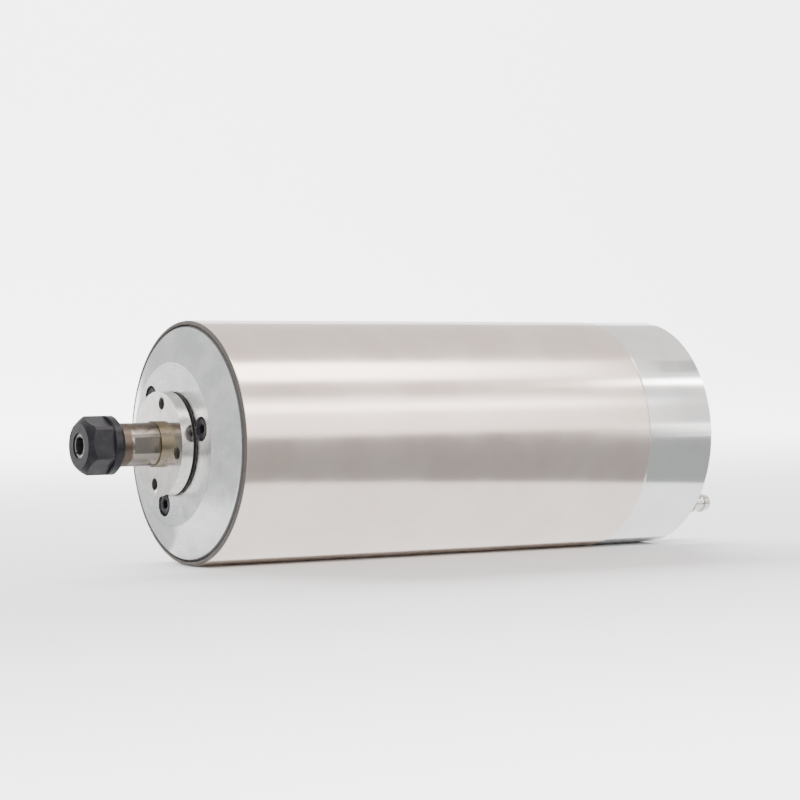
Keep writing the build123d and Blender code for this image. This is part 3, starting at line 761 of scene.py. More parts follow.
# ------------------------------------------------------------------ shared palette
class Palette:
    """Every finish of the spindle, painted once and shared."""

    def __init__(self) -> None:
        """Paint the finishes, with zones of painted shade at the joints, recesses, holes and gaps."""
        nut_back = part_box("collet_nut")[1].x
        shaft_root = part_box("labyrinth_nut")[0].x
        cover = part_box("front_bearing_cover")[0].x
        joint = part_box("body_tube")[0].x
        # Painted shade: the rim joint between flange and tube, the cover's recess, its counterbores, the lock
        # nut's back in the gap before the cover, and the lock nut's pin holes.
        # Each zone's front, back, inner radius and outer radius.
        rim = ShadeZone(joint - 0.28 * MM, joint + 0.6 * MM, 37.7 * MM, 50 * MM)
        recess = ShadeZone(cover - 0.4 * MM, cover + 4 * MM, 0.0, 17.0 * MM)
        sinks = ShadeZone(cover + 0.5 * MM, cover + 5 * MM, 16.5 * MM, 24.9 * MM)
        gap = ShadeZone(cover - 1.12 * MM, cover + 12 * MM, 0.0, 17.2 * MM)
        pins = ShadeZone(shaft_root + 0.4 * MM, cover - 1.3 * MM, 11.1 * MM, 15.7 * MM)
        finishes = {
            "stainless": TurnedMetal(
                "satin_stainless", tone(0.82, 0.715, 0.65), tone(0.76, 0.65, 0.59), 0.19, 0.10, 2400.0,
                0.5e-6, wave_depth=0.14 * MM, shade_zones=(rim,)
            ),
            "front_aluminium": TurnedMetal(
                "turned_aluminium", tone(0.77, 0.775, 0.785), tone(0.63, 0.64, 0.655), 0.27, 0.16, 1900.0,
                0.9e-6, 140.0, shade_zones=(rim, recess, sinks)
            ),
            "cap_aluminium": TurnedMetal(
                "polished_aluminium", tone(0.83, 0.84, 0.845), tone(0.75, 0.76, 0.77), 0.14, 0.08, 2800.0,
                0.3e-6
            ),
            "bright_steel": TurnedMetal(
                "polished_steel", tone(0.86, 0.845, 0.82), tone(0.76, 0.74, 0.69), 0.16, 0.08, 2600.0, 0.4e-6,
                160.0, shade_zones=(gap, pins)
            ),
            "ground_steel": ShaftSteel(
                "shaft_steel", nut_back - 1.0 * MM, nut_back + 3.4 * MM, shaft_root - 3.0 * MM
            ),
            "black_oxide": BlackOxide("black_oxide"),
            "collet_steel": PlainMetal("collet_steel", tone(0.40, 0.39, 0.38), tone(0.27, 0.26, 0.25), 0.32),
            "electrical_steel": SheetStack("electrical_steel"),
            "copper": WoundCopper("wound_copper"),
            "soft_copper": PlainMetal("soft_copper", tone(0.78, 0.42, 0.25), tone(0.62, 0.30, 0.17), 0.28),
            "brass": PlainMetal("turned_brass", tone(0.80, 0.61, 0.27), tone(0.66, 0.47, 0.18), 0.25),
            "nickel": PlainMetal("nickel_plate", tone(0.72, 0.71, 0.68), tone(0.60, 0.59, 0.57), 0.18),
            "inner_aluminium": TurnedMetal(
                "machined_aluminium", tone(0.70, 0.70, 0.71), tone(0.60, 0.60, 0.61), 0.32, 0.1, 1500.0,
                1.5e-6
            ),
            "phenolic": Moulded("fabric_resin", tone(0.34, 0.18, 0.075), tone(0.46, 0.29, 0.15), 0.5, 2600.0),
            "insulator": Moulded(
                "moulded_insulator", tone(0.018, 0.018, 0.02), tone(0.06, 0.06, 0.062), 0.42
            ),
            "rubber": Moulded("black_rubber", tone(0.016, 0.016, 0.016), tone(0.07, 0.07, 0.068), 0.66),
        }
        self.materials = {slot: finish.paint() for slot, finish in finishes.items()}

    def dress_nodes(self) -> None:
        """Give every carried-over CAD node the finish of its slot."""
        slots = {entry["node"]: entry["material_slot"] for entry in frame["record"]["subparts"]}
        for name, node in frame["nodes"].items():
            node.data.materials.clear()
            node.data.materials.append(self.materials[slots[name]])

    def dress(self, piece: Piece, slot: str, body: str, *nodes: str, finish: str = "") -> Piece:
        """Give a new piece its finish, its body and the nodes it stands for.

        Args:
            piece: the piece.
            slot: its material slot.
            body: the body it moves with.
            nodes: the CAD nodes it replaces.
            finish: the finish, where it isn't the slot's own.

        Returns:
            The piece.
        """
        piece.data.materials.clear()
        piece.data.materials.append(self.materials[finish or slot])
        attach(piece, body)
        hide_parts(*nodes)
        LOG.info("%s stands for %s on %s", piece.name, ", ".join(nodes), body)
        return piece


# ------------------------------------------------------------------ the spindle's sub-assemblies
@dataclass
class Screw:
    """A socket-head screw of the size that both screw sets share."""

    head_radius: float = 3.5 * MM
    head: float = 4.0 * MM
    shank_radius: float = 2.0 * MM
    socket: float = 3.0 * MM
    socket_depth: float = 2.0 * MM
    top_chamfer: float = 0.45 * MM
    knurls: int = 36
    knurl_radius: float = 0.16 * MM
    knurl_end: float = 0.3 * MM
    shank_play: float = 0.25 * MM
    head_play: float = 0.5 * MM

    def holes(self, way: Point, sink: Point, circle: float, count: int, turn: float) -> list[Piece]:
        """Tool shapes for the holes of a set of screws round the axis.

        Args:
            way: where the shanks' holes start and end.
            sink: where the heads' holes start and end.
            circle: height of the screws above the axis.
            count: how many there are.
            turn: the first one's angle.

        Returns:
            The tool shapes.
        """
        return [
            *Bench.around(Bench.bar(*way, self.shank_radius + self.shank_play, circle), count, turn),
            *Bench.around(Bench.bar(*sink, self.head_radius + self.head_play, circle), count, turn),
        ]

    def build(self, name: str, seat: float, length: float, height: float, back: bool) -> Piece:
        """Model one screw.

        Args:
            name: its name.
            seat: where its head's underside lies.
            length: of its shank.
            height: of its axis above the spindle's.
            back: whether its head faces the rear.

        Returns:
            The screw.
        """
        top = -self.head
        screw = Bench.turned(name, [
            (top, 0.0),
            (top, self.head_radius - self.top_chamfer),
            (top + self.top_chamfer, self.head_radius),
            (0.0, self.head_radius),
            (0.0, self.shank_radius),
            (length, self.shank_radius),
            (length, 0.0),
        ], steps=48)
        Bench.cut(screw, [Bench.bar(top - MM, top + self.socket_depth, self.socket / 2, sides=6)])
        knurl = (top + 2 * self.top_chamfer, -self.knurl_end)
        groove = Bench.bar(*knurl, self.knurl_radius, self.head_radius, sides=12)
        Bench.cut(screw, [Bench.joined("knurl_tool", Bench.around(groove, self.knurls))])
        Bench.finished(screw, 0.08 * MM, 2)
        if back:
            screw.matrix_world = Matrix.Rotation(math.pi, 4, "Z")
        screw.matrix_world = Matrix.Translation((seat, 0.0, height)) @ screw.matrix_world
        return Bench.settled(screw)


@dataclass
class Body:
    """The tube and the rear cap, which make the long outside of the spindle."""

    palette: Palette
    wall: float = 1.5 * MM
    rim: float = 0.9 * MM
    mouth: float = 0.35 * MM
    seam: float = 0.35 * MM
    cap_edge: float = 0.8 * MM
    cap_floor: float = 8.0 * MM
    cavity: float = 20.0 * MM
    slip: float = 0.05 * MM
    screw_circle: float = 34.5 * MM
    screw_sunk: float = 0.4 * MM
    screw_length: float = 42.0 * MM
    screws: int = 4
    screw_turn: float = 45.0  # first screw, degrees from +Z towards -Y
    socket_hole: float = 9.52 * MM
    port: float = 2.0 * MM
    fitting_hole: float = 4.02 * MM
    fitting_depth: float = 9.0 * MM

    def tube(self) -> Piece:
        """Model the tube, with its rounded front rim.

        Returns:
            The tube.
        """
        low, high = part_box("body_tube")
        outer, bore = high.z, high.z - self.wall
        section = [
            *Bench.arc(low.x + self.rim, outer - self.rim, self.rim, 90.0, 180.0),
            (low.x, bore + self.mouth),
            (low.x + self.mouth, bore),
            (high.x, bore),
            (high.x, outer - self.seam),
            (high.x - self.seam, outer),
        ]
        tube = Bench.finished(Bench.turned("tube_shell", section, 256), 0.12 * MM, 2)
        return self.palette.dress(tube, "stainless", HOUSING, "body_tube")

    def cap(self) -> Piece:
        """Model the rear cap with its screw, water and socket holes.

        Returns:
            The cap.
        """
        low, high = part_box("rear_cap")
        _, tube_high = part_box("body_tube")
        outer, spigot = high.z, tube_high.z - self.wall - self.slip
        cap = Bench.turned("cap_body", [
            (low.x, self.cavity),
            (low.x, spigot),
            (tube_high.x, spigot),
            (tube_high.x, outer - self.seam),
            (tube_high.x + self.seam, outer),
            (high.x - self.cap_edge, outer),
            (high.x, outer - self.cap_edge),
            (high.x, 0.0),
            (high.x - self.cap_floor, 0.0),
            (high.x - self.cap_floor, self.cavity),
        ], 256)
        screw = Screw()
        seat = high.x - self.screw_sunk - screw.head
        past = (low.x - MM, high.x + MM)
        Bench.cut(cap, screw.holes(past, (seat, past[1]), self.screw_circle, self.screws, self.screw_turn))
        gasket_low, gasket_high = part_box("socket_gasket")
        middle = (gasket_low.z + gasket_high.z) / 2
        Bench.cut(cap, [Bench.bar(high.x - 2 * self.cap_floor, past[1], self.socket_hole, middle)])
        for turn in FITTING_TURNS:
            port = Bench.bar(*past, self.port, FITTING_CIRCLE)
            thread = Bench.bar(high.x - self.fitting_depth, past[1], self.fitting_hole, FITTING_CIRCLE)
            Bench.cut(cap, [Bench.turn(port, turn), Bench.turn(thread, turn)])
        Bench.finished(cap, 0.14 * MM, 2)
        return self.palette.dress(cap, "cap_aluminium", HOUSING, "rear_cap")

    def cap_screws(self) -> Piece:
        """Model the cap's long screws.

        Returns:
            The set of screws.
        """
        _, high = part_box("rear_cap")
        screw = Screw()
        seat = high.x - self.screw_sunk - screw.head
        one = screw.build("cap_screw", seat, self.screw_length, self.screw_circle, True)
        screws = Bench.joined("cap_screw_set", Bench.around(one, self.screws, self.screw_turn))
        return self.palette.dress(screws, "black_oxide", HOUSING, "cap_screws")

    def build(self) -> None:
        """Model the whole body."""
        self.tube()
        self.cap()
        self.cap_screws()


@dataclass
class FrontEnd:
    """The flange, the bearing cover with its screws, and the labyrinth lock nut."""

    palette: Palette
    edge_round: float = 2.0 * MM
    edge_proud: float = 0.1 * MM
    slip: float = 0.05 * MM
    seat: float = 14.0 * MM
    hub_wall: float = 7.0 * MM
    bearing_radius: float = 16.02 * MM
    lip_radius: float = 13.8 * MM
    lip: float = 3.0 * MM
    cover_thick: float = 6.0 * MM
    screw_circle: float = 20.7 * MM
    screw_turn: float = 75.0
    screw_length: float = 10.0 * MM
    screws: int = 3
    screw_thread: float = 2.02 * MM
    screw_depth: float = 9.0 * MM
    sunk: float = 0.4 * MM
    lock_bore: float = 7.5 * MM
    lock_hub: float = 9.8 * MM
    gap: float = 0.4 * MM
    rib: float = 14.4 * MM  # middle radius of the labyrinth's ring
    rib_wall: float = 1.4 * MM
    rib_depth: float = 1.2 * MM
    lock_gap: float = 1.0 * MM
    pin_circle: float = 13.4 * MM
    pin_radius: float = 2.0 * MM
    pin_depth: float = 3.0 * MM
    pins: int = 4
    pin_turn: float = 10.75

    def flange(self) -> Piece:
        """Model the coned flange and its hub.

        Returns:
            The flange.
        """
        low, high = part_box("front_flange")
        tube_low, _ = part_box("body_tube")
        _, cover_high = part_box("front_bearing_cover")
        recess, outer = cover_high.z + self.slip, high.z
        floor = low.x + self.cover_thick
        corner = tube_low.x - self.edge_proud
        slope = math.degrees(math.atan2(outer - recess, corner - low.x))
        start = corner + self.edge_round * math.tan(math.radians(slope) / 2)
        edge = Bench.arc(start, outer - self.edge_round, self.edge_round, 90.0 + slope, 90.0, 10)
        flange = Bench.turned("flange_body", [
            (low.x, recess),
            *edge,
            (tube_low.x + self.seat, outer),
            (tube_low.x + self.seat, self.bearing_radius + self.hub_wall),
            (high.x, self.bearing_radius + self.hub_wall),
            (high.x, self.lip_radius),
            (high.x - self.lip, self.lip_radius),
            (high.x - self.lip, self.bearing_radius),
            (floor, self.bearing_radius),
            (floor, recess),
        ], 256)
        thread = Bench.bar(floor - MM, floor + self.screw_depth, self.screw_thread, self.screw_circle, 24)
        Bench.cut(flange, Bench.around(thread, self.screws, self.screw_turn))
        Bench.finished(flange, 0.14 * MM, 2)
        return self.palette.dress(flange, "front_aluminium", HOUSING, "front_flange")

    def cover(self) -> Piece:
        """Model the bearing cover, with counterbores and the labyrinth's groove.

        Returns:
            The cover.
        """
        low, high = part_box("front_bearing_cover")
        bore = self.lock_hub + self.gap
        back = low.x + self.cover_thick
        groove = self.rib_wall / 2 + self.gap
        floor = low.x + self.rib_depth + self.gap
        cover = Bench.turned("cover_disc", [
            (low.x, bore),
            (low.x, self.rib - groove),
            (floor, self.rib - groove),
            (floor, self.rib + groove),
            (low.x, self.rib + groove),
            (low.x, high.z),
            (back, high.z),
            (back, self.bearing_radius - self.slip),
            (high.x, self.bearing_radius - self.slip),
            (high.x, self.lip_radius),
            (back, bore),
        ], 256)
        screw = Screw()
        seat = low.x + self.sunk + screw.head
        way, sink = (low.x - MM, back + MM), (low.x - MM, seat)
        Bench.cut(cover, screw.holes(way, sink, self.screw_circle, self.screws, self.screw_turn))
        Bench.finished(cover, 0.14 * MM, 2)
        return self.palette.dress(cover, "front_aluminium", HOUSING, "front_bearing_cover")

    def cover_screws(self) -> Piece:
        """Model the cover's screws.

        Returns:
            The set of screws.
        """
        low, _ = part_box("front_bearing_cover")
        screw = Screw()
        seat = low.x + self.sunk + screw.head
        one = screw.build("cover_screw", seat, self.screw_length, self.screw_circle, False)
        screws = Bench.joined("cover_screw_set", Bench.around(one, self.screws, self.screw_turn))
        return self.palette.dress(screws, "black_oxide", HOUSING, "cover_screws")

    def lock_nut(self) -> Piece:
        """Model the polished lock nut, which turns with the shaft.

        Returns:
            The lock nut.
        """
        low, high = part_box("labyrinth_nut")
        cover_low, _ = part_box("front_bearing_cover")
        back, tip = cover_low.x - self.lock_gap, cover_low.x + self.rib_depth
        rib_in, rib_out = self.rib - self.rib_wall / 2, self.rib + self.rib_wall / 2
        nut = Bench.turned("lock_nut", [
            (low.x, self.lock_bore),
            (low.x, high.z),
            (back, high.z),
            (back, rib_out),
            (tip, rib_out),
            (tip, rib_in),
            (back, rib_in),
            (back, self.lock_hub),
            (high.x, self.lock_hub),
            (high.x, self.lock_bore),
        ], 256)
        hole = Bench.bar(low.x - MM, low.x + self.pin_depth, self.pin_radius, self.pin_circle)
        Bench.cut(nut, Bench.around(hole, self.pins, self.pin_turn))
        Bench.finished(nut, 0.3 * MM, 3)
        return self.palette.dress(nut, "bright_steel", ROTOR, "labyrinth_nut")

    def build(self) -> None:
        """Model the whole front end."""
        self.flange()
        self.cover()
        self.cover_screws()
        self.lock_nut()


@dataclass
class Nose:
    """The shaft, the spring collet and the collet nut."""

    palette: Palette
    nut_flats: float = 17.0 * MM
    nut_turn: float = 22.0  # first flat, degrees from +Z towards -Y
    hex_length: float = 8.6 * MM
    nut_front: float = 7.3 * MM
    nut_taper: float = 2.4 * MM
    nut_rear: float = 1.3 * MM
    nut_mouth: float = 4.06 * MM
    nut_seat: float = 5.76 * MM
    nut_thread: float = 7.1 * MM
    relief: float = 0.25 * MM
    ring_front: float = 2.95 * MM
    ring_back: float = 4.05 * MM
    ring_bore: float = 5.3 * MM
    undercut: float = 6.15 * MM
    undercut_end: float = 5.1 * MM
    head: float = 5.5 * MM
    head_face: float = 4.23 * MM
    head_length: float = 2.2 * MM
    groove: float = 4.75 * MM
    groove_end: float = 4.0 * MM
    ridge: float = 0.5 * MM
    tool: float = 3.0 * MM  # radius of the collet's hole
    cone: float = 8.0  # degrees to the axis
    slits: int = 4
    slit: float = 0.5 * MM
    slit_short: float = 2.6 * MM
    thread_pitch: float = 0.75 * MM
    thread_root: float = 0.45 * MM
    nose_radius: float = 7.0 * MM
    nose_band: float = 4.0 * MM
    flat_length: float = 9.4 * MM
    flats: float = 13.0 * MM
    chamfer: float = 0.4 * MM
    collet_play: float = 0.06 * MM
    tool_way: float = 3.6 * MM
    tool_way_length: float = 12.0 * MM
    drill_tip: float = 1.8 * MM
    journal: float = 7.48 * MM
    bearing_width: float = 9.0 * MM
    shoulder: float = 9.48 * MM
    rotor_seat: float = 10.08 * MM
    rotor_stop: float = 12.08 * MM
    stop_length: float = 3.0 * MM

    def nut(self) -> Piece:
        """Model the hexagonal collet nut with its round collar and extractor ring.

        Returns:
            The collet nut.
        """
        low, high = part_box("collet_nut")
        outer = high.z
        collar = low.x + self.hex_length
        ring_front, ring_back = low.x + self.ring_front, low.x + self.ring_back
        undercut = low.x + self.undercut_end
        nut = Bench.turned("nut_body", [
            (low.x, self.nut_mouth),
            (low.x, self.nut_front),
            (low.x + self.nut_taper, outer),
            (collar, outer),
            (collar + self.relief, outer - self.relief),
            (collar + 2 * self.relief, outer),
            (high.x - self.nut_rear, outer),
            (high.x, outer - self.nut_rear),
            (high.x, self.nut_thread),
            (undercut, self.nut_thread),
            (undercut, self.undercut),
            (ring_back, self.undercut),
            (ring_back, self.ring_bore),
            (ring_front, self.ring_bore),
            (ring_front, self.nut_seat),
        ])
        flat = Bench.block((low.x - MM, -outer, self.nut_flats / 2), (collar, outer, outer + 2 * MM))
        Bench.cut(nut, Bench.around(flat, 6, self.nut_turn))
        Bench.finished(nut, 0.22 * MM)
        return self.palette.dress(nut, "black_oxide", NUT, "collet_nut")

    def collet(self) -> Piece:
        """Model the slit spring collet.

        Returns:
            The collet.
        """
        low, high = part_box("collet")
        face, head = low.x, low.x + self.head_length
        groove = low.x + self.groove_end
        cone = groove + self.ridge
        collet = Bench.turned("collet_body", [
            (face, self.tool),
            (face, self.head_face),
            (head, self.head),
            (head, self.groove),
            (groove, self.groove),
            (groove, high.z),
            (cone, high.z),
            (high.x, high.z - (high.x - cone) * math.tan(math.radians(self.cone))),
            (high.x, self.tool),
        ], 128)
        half, foot, top = self.slit / 2, self.tool / 2, self.head + 2 * MM
        reach = high.x - face - self.slit_short
        from_front = Bench.block((face - MM, -half, foot), (face + reach, half, top))
        from_back = Bench.block((high.x - reach, -half, foot), (high.x + MM, half, top))
        front_slits = Bench.around(from_front, self.slits, 180.0 / self.slits)
        Bench.cut(collet, [*front_slits, *Bench.around(from_back, self.slits)])
        Bench.finished(collet, 0.06 * MM, 2)
        return self.palette.dress(collet, "collet_steel", COLLET, "collet")

    def shaft(self) -> Piece:
        """Model the shaft with its nose thread and spanner flats.

        Returns:
            The shaft.
        """
        low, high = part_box("spindle_shaft")
        _, nut_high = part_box("collet_nut")
        _, collet_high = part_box("collet")
        bearing_low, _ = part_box("front_bearing_b_outer_ring")
        _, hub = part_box("front_flange")
        _, ring_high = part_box("rear_balance_ring")
        rear_low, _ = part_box("rear_bearing_outer_ring")
        shelf = bearing_low.x + self.bearing_width
        stop, stop_end = ring_high.x, ring_high.x + self.stop_length
        band_end = nut_high.x + self.nose_band
        journal = band_end + self.flat_length
        mouth = collet_high.z + self.collet_play
        cone_back = collet_high.x + self.ridge
        way_end = cone_back + self.tool_way_length
        root = self.nose_radius - self.thread_root
        shaft = Bench.turned("shaft_body", [
            (low.x, mouth),
            (low.x, root - self.chamfer),
            (low.x + self.chamfer, root),
            (nut_high.x - MM, root),
            (nut_high.x - 0.6 * MM, self.nose_radius),
            (journal, self.nose_radius),
            (journal, self.journal),
            (shelf, self.journal),
            (shelf, self.shoulder),
            (hub.x, self.shoulder),
            (hub.x, self.rotor_seat),
            (stop, self.rotor_seat),
            (stop, self.rotor_stop),
            (stop_end, self.rotor_stop),
            (stop_end, self.shoulder),
            (rear_low.x, self.shoulder),
            (rear_low.x, self.journal),
            (high.x - self.chamfer, self.journal),
            (high.x, self.journal - self.chamfer),
            (high.x, 0.0),
            (way_end + self.drill_tip, 0.0),
            (way_end, self.tool_way),
            (cone_back, self.tool_way),
            (cone_back, mouth - (cone_back - low.x) * math.tan(math.radians(self.cone))),
        ])
        reach = self.shoulder
        side = Bench.block((band_end, self.flats / 2, -reach), (journal, reach, reach))
        Bench.cut(shaft, Bench.around(side, 2))
        Bench.finished(shaft, 0.12 * MM, 2)
        ends = (low.x + 0.6 * MM, nut_high.x - 0.9 * MM)
        ridge = Bench.thread("nose_thread", *ends, self.nose_radius, self.thread_pitch)
        shaft = Bench.joined("shaft_body", [shaft, ridge])
        return self.palette.dress(shaft, "ground_steel", ROTOR, "spindle_shaft")

    def build(self) -> None:
        """Model the nose."""
        self.nut()
        self.collet()
        self.shaft()


@dataclass
class RearFace:
    """The power socket's shell and the two hose barbs on the rear face."""

    palette: Palette
    socket_wall: float = 1.6 * MM
    barrel: float = 9.5 * MM
    thread_root: float = 0.55 * MM
    thread_pitch: float = 1.0 * MM
    flange_thick: float = 2.5 * MM
    knurls: int = 48
    knurl_radius: float = 0.3 * MM
    key: float = 1.2 * MM  # half the width of the keyway in the mouth
    key_depth: float = 0.7 * MM
    across_flats: float = 12.0 * MM
    hexagon: float = 6.0 * MM
    thread_length: float = 8.0 * MM
    thread_radius: float = 4.0 * MM
    bore: float = 1.5 * MM
    barb_radius: float = 3.5 * MM
    neck: float = 2.8 * MM
    barb_pitch: float = 4.5 * MM
    barbs: int = 3
    washer_bore: float = 4.05 * MM
    washer_radius: float = 6.8 * MM

    def socket(self) -> Piece:
        """Model the socket's threaded shell with its knurled flange.

        Returns:
            The shell.
        """
        low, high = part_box("socket_shell")
        _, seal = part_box("socket_gasket")
        flange = (high.z - low.z) / 2
        bore, step = self.barrel - self.socket_wall, seal.x + self.flange_thick
        root = self.barrel - self.thread_root
        shell = Bench.turned("socket_barrel", [
            (low.x, bore),
            (low.x, self.barrel),
            (seal.x, self.barrel),
            (seal.x, flange),
            (step, flange),
            (step, self.barrel),
            (step + 0.8 * MM, self.barrel),
            (step + 1.2 * MM, root),
            (high.x, root),
            (high.x, bore),
        ], 128)
        groove = Bench.bar(seal.x - MM, step + MM * 0.5, self.knurl_radius, flange + 0.08 * MM, 12)
        Bench.cut(shell, [Bench.joined("knurl_tool", Bench.around(groove, self.knurls))])
        key_foot = (step + 2 * MM, -self.key, bore - 0.5 * MM)
        Bench.cut(shell, [Bench.block(key_foot, (high.x + MM, self.key, bore + self.key_depth))])
        Bench.finished(shell, 0.1 * MM, 2)
        ends = (step + 1.3 * MM, high.x - 0.3 * MM)
        ridge = Bench.thread("barrel_thread", *ends, self.barrel, self.thread_pitch)
        shell = Bench.placed(Bench.joined("socket_barrel", [shell, ridge]), (low.z + high.z) / 2)
        return self.palette.dress(shell, "nickel", HOUSING, "socket_shell")

    def fitting(self, node: str, turn: float) -> Piece:
        """Model one hose barb.

        Args:
            node: the CAD node that it stands for.
            turn: its angle from +Z towards -Y.

        Returns:
            The barb.
        """
        low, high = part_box(node)
        face = low.x + self.thread_length
        start = face + self.hexagon
        corner = self.across_flats / 2 / math.cos(math.pi / 6)
        section = [
            (low.x, self.bore),
            (low.x, self.thread_radius),
            (face, self.thread_radius),
            (face, corner - 0.5 * MM),
            (face + 0.4 * MM, corner - 0.05 * MM),
            (start - 0.6 * MM, corner - 0.05 * MM),
            (start, corner - 0.9 * MM),
            (start, self.neck),
        ]
        for i in range(self.barbs):
            step, tip = start + (i + 0.4) * self.barb_pitch, start + (i + 1) * self.barb_pitch
            section += [(step, self.neck), (step, self.barb_radius), (tip, self.neck)]
        section.append((high.x, self.bore))
        barb = Bench.turned(node.replace("fitting", "barb"), section, 96)
        past = 0.01 * MM
        flat = Bench.block((face - past, -corner, self.across_flats / 2), (start + past, corner, corner + MM))
        Bench.cut(barb, Bench.around(flat, 6))
        Bench.finished(barb, 0.12 * MM, 2)
        Bench.placed(barb, FITTING_CIRCLE, turn)
        return self.palette.dress(barb, "nickel", HOUSING, node)

    def washers(self) -> Piece:
        """Model the two sealing washers.

        Returns:
            The pair of washers.
        """
        low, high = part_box("fitting_washers")
        washer = Bench.turned("sealing_washer", [
            (low.x, self.washer_bore),
            (low.x, self.washer_radius),
            (high.x, self.washer_radius),
            (high.x, self.washer_bore),
        ], 96)
        Bench.finished(washer, 0.2 * MM)
        Bench.take(washer)
        bpy.ops.object.duplicate(linked=False)
        other = bpy.context.active_object
        pair = [Bench.placed(one, FITTING_CIRCLE, turn) for one, turn in zip((washer, other), FITTING_TURNS)]
        return self.palette.dress(Bench.joined("sealing_washers", pair), "copper", HOUSING, "fitting_washers",
                                  finish="soft_copper")

    def build(self) -> None:
        """Model the rear face's fittings."""
        self.socket()
        for node, turn in zip(("water_inlet_fitting", "water_outlet_fitting"), FITTING_TURNS):
            self.fitting(node, turn)
        self.washers()


# ------------------------------------------------------------------ stage
class Sight(Enum):
    """What a lamp shows on: only in the metal's reflections, or only on what is matt."""

    METAL = "visible_diffuse"
    MATT = "visible_glossy"


@dataclass
class Softbox:
    """A long rectangular lamp beside the spindle, seen as a band along the tube."""

    name: str
    angle: float
    span: float
    glow: float
    front: float = -0.6
    back: float = 0.895
    sight: Sight = Sight.METAL
    distance: float = 1.1
    tint: tuple = (1.0, 0.95, 0.915)

    def build(self) -> None:
        """Hang the lamp at its angle round X, from +Z towards -Y, facing the spindle."""
        turn = math.radians(self.angle)
        lamp = bpy.data.lights.new(self.name, "AREA")
        lamp.shape = "RECTANGLE"
        lamp.size = self.back - self.front
        lamp.size_y = 2 * self.distance * math.tan(math.radians(self.span) / 2)
        lamp.energy = math.pi * self.glow * lamp.size * lamp.size_y
        lamp.color = self.tint
        holder = bpy.data.objects.new(self.name, lamp)
        middle = (self.front + self.back) / 2
        holder.location = (middle, -self.distance * math.sin(turn), self.distance * math.cos(turn))
        holder.rotation_euler = (turn, 0.0, 0.0)
        holder.visible_camera = False
        setattr(holder, self.sight.value, False)
        bpy.context.scene.collection.objects.link(holder)


@dataclass
class Flag:
    """A grey card that only the metal sees, as a darker or brighter field in its reflections."""

    name: str
    centre: tuple
    size: tuple
    tilt: tuple
    glow: float

    def build(self) -> None:
        """Stand the card in its place."""
        Bench.clear()
        bpy.ops.mesh.primitive_plane_add(size=1.0)
        card = bpy.context.active_object
        card.name = self.name
        card.scale = (*self.size, 1.0)
        Bench.settled(card)
        card.rotation_euler = [math.radians(turn) for turn in self.tilt]
        card.location = self.centre
        Bench.settled(card)
        paint = Graph(self.name)
        cloud = paint.noise(2.0, 1.0)
        shade = paint.mix(cloud, tone(0.94, 0.94, 0.94), tone(1.0, 1.0, 1.0))
        black = tone(0.0, 0.0, 0.0)
        card.data.materials.append(paint.set(
            Base_Color=black, Specular_IOR_Level=0.0, Emission_Color=shade, Emission_Strength=self.glow
        ))
        card.visible_camera = card.visible_diffuse = card.visible_shadow = False


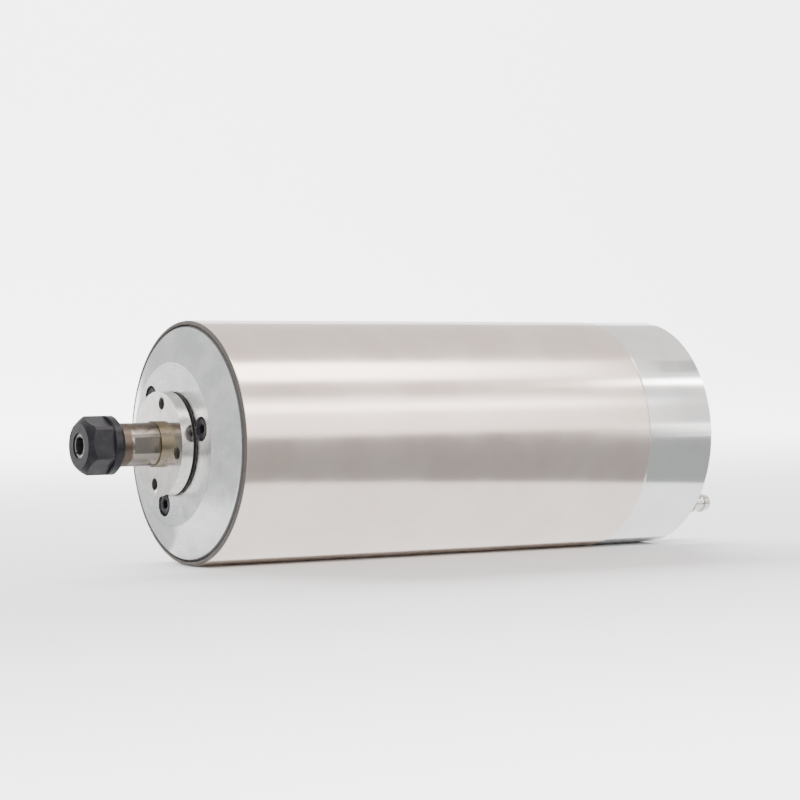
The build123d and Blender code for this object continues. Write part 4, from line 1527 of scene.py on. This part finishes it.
@dataclass
class Stage:
    """The seamless floor, the lamps and the camera."""

    floor_level: float
    eye: tuple = (-0.4666, -0.73406, 0.03352)
    heading: float = 32.59
    pitch: float = -1.344
    lens: float = 114.37
    back: float = 1.6
    front: float = -4.0
    half_width: float = 5.0
    wall: float = 0.75
    sweep: float = 0.35
    sweep_facets: int = 24
    card_lift: float = 0.001

    def floor(self) -> None:
        """Lay the floor and sweep it up into the backdrop."""
        Bench.clear()
        middle = (self.front + self.back) / 2
        bpy.ops.mesh.primitive_plane_add(size=2.0, location=(0.0, middle, self.floor_level))
        sheet = bpy.context.active_object
        sheet.name = "studio_floor"
        sheet.scale = (self.half_width, (self.back - self.front) / 2, 1.0)
        Bench.settled(sheet)
        bpy.ops.object.mode_set(mode="EDIT")
        bpy.ops.mesh.select_all(action="DESELECT")
        bpy.ops.object.mode_set(mode="OBJECT")
        for edge in sheet.data.edges:
            ends = [sheet.data.vertices[i].co.y for i in edge.vertices]
            edge.select = min(ends) > middle
        bpy.ops.object.mode_set(mode="EDIT")
        bpy.ops.mesh.select_mode(type="EDGE")
        bpy.ops.mesh.extrude_region_move(TRANSFORM_OT_translate={"value": (0.0, 0.0, self.wall)})
        bpy.ops.object.mode_set(mode="OBJECT")
        Bench.applied(sheet, "BEVEL", width=self.sweep, segments=self.sweep_facets)
        bpy.ops.object.shade_smooth()
        paper = Graph("backdrop_paper")
        cloud = paper.noise(3.0, 2.0)
        _, depth, _ = paper.axes()
        lit = depth.above(0.55, 0.7) * 0.75 + (0.0 - depth).above(0.27, 0.4)
        paper.set(
            Base_Color=paper.mix(cloud, tone(0.86, 0.86, 0.87), tone(0.88, 0.88, 0.885)),
            Roughness=0.7,
            Emission_Color=paper.mix(lit, tone(0.0, 0.0, 0.0), tone(0.985, 0.985, 1.0)),
            Emission_Strength=2.8,
        )
        sheet.data.materials.append(paper.material)

    def lamps(self) -> None:
        """Hang the lamps, stand the cards and set the room's own light."""
        for lamp in (
            Softbox("overhead_softbox", 20.0, 20.0, 7.4, back=0.72),
            Softbox("overhead_end", 20.0, 20.0, 3.6, front=0.72),
            Softbox("front_strip", 57.0, 8.0, 3.6),
            Softbox("low_softbox", 66.0, 38.0, 1.9),
            Softbox("cap_strip", 34.8, 6.0, 17.0, 0.90, 2.4),
            Softbox("cap_low_strip", 84.0, 9.0, 3.2, 0.90, 2.4),
            Softbox("back_softbox", -45.0, 26.0, 14.0, -1.5, 1.5, Sight.MATT, 1.8, (1.0, 1.0, 1.0)),
        ):
            lamp.build()
        low = self.floor_level + self.card_lift
        for card in (
            Flag("floor_card", (0.98, -0.441, low + 0.0005), (2.2, 1.0), (0.0, 0.0, 7.7), 0.56),
            Flag("near_card", (0.9, -0.0435, low), (2.1, 0.063), (0.0, 0.0, 0.0), 2.2),
            Flag("upright_card", (0.1, -1.0, low + 0.075), (1.4, 0.15), (90.0, 0.0, 7.7), 0.56),
            Flag("side_card", (-0.75, 0.15, 0.68), (1.44, 2.7), (0.0, 90.0, 0.0), 1.1),
            Flag("side_floor_card", (-0.435, 0.15, low), (0.62, 2.7), (0.0, 0.0, 0.0), 1.0),
            Flag("back_card", (-0.05, 1.5, 0.68), (1.4, 1.44), (90.0, 0.0, 0.0), 1.1),
            Flag("far_card", (1.85, 1.5, 0.235), (2.4, 0.55), (90.0, 0.0, 0.0), 2.4),
            Flag("rear_floor_card", (0.74, 0.71, low), (1.73, 1.38), (0.0, 0.0, 0.0), 1.05),
            Flag("cap_card", (1.585, -0.284, 0.959), (1.5, 0.265), (16.5, 0.0, 0.0), 0.35),
        ):
            card.build()
        world = bpy.data.worlds.new("studio_room")
        world.use_nodes = True
        background = world.node_tree.nodes["Background"].inputs
        background["Color"].default_value = (1.0, 0.955, 0.925, 1.0)
        background["Strength"].default_value = 1.45
        bpy.context.scene.world = world

    def camera(self) -> None:
        """Set the camera at the eye."""
        view = bpy.data.cameras.new("camera")
        view.lens = self.lens
        view.sensor_width = 36.0
        view.clip_end = 50.0
        holder = bpy.data.objects.new("camera", view)
        holder.location = self.eye
        holder.rotation_euler = (math.radians(90.0 + self.pitch), 0.0, math.radians(-self.heading))
        bpy.context.scene.collection.objects.link(holder)
        bpy.context.scene.camera = holder

    def build(self) -> None:
        """Set the whole stage."""
        self.floor()
        self.lamps()
        self.camera()


def main() -> None:
    """Model and dress the spindle, and set the stage."""
    logging.basicConfig(level=logging.INFO, format="%(name)s: %(message)s")
    tube_low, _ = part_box("body_tube")
    palette = Palette()
    palette.dress_nodes()
    Body(palette).build()
    FrontEnd(palette).build()
    Nose(palette).build()
    RearFace(palette).build()
    Stage(tube_low.z).build()


if __name__ == "__main__":
    main()
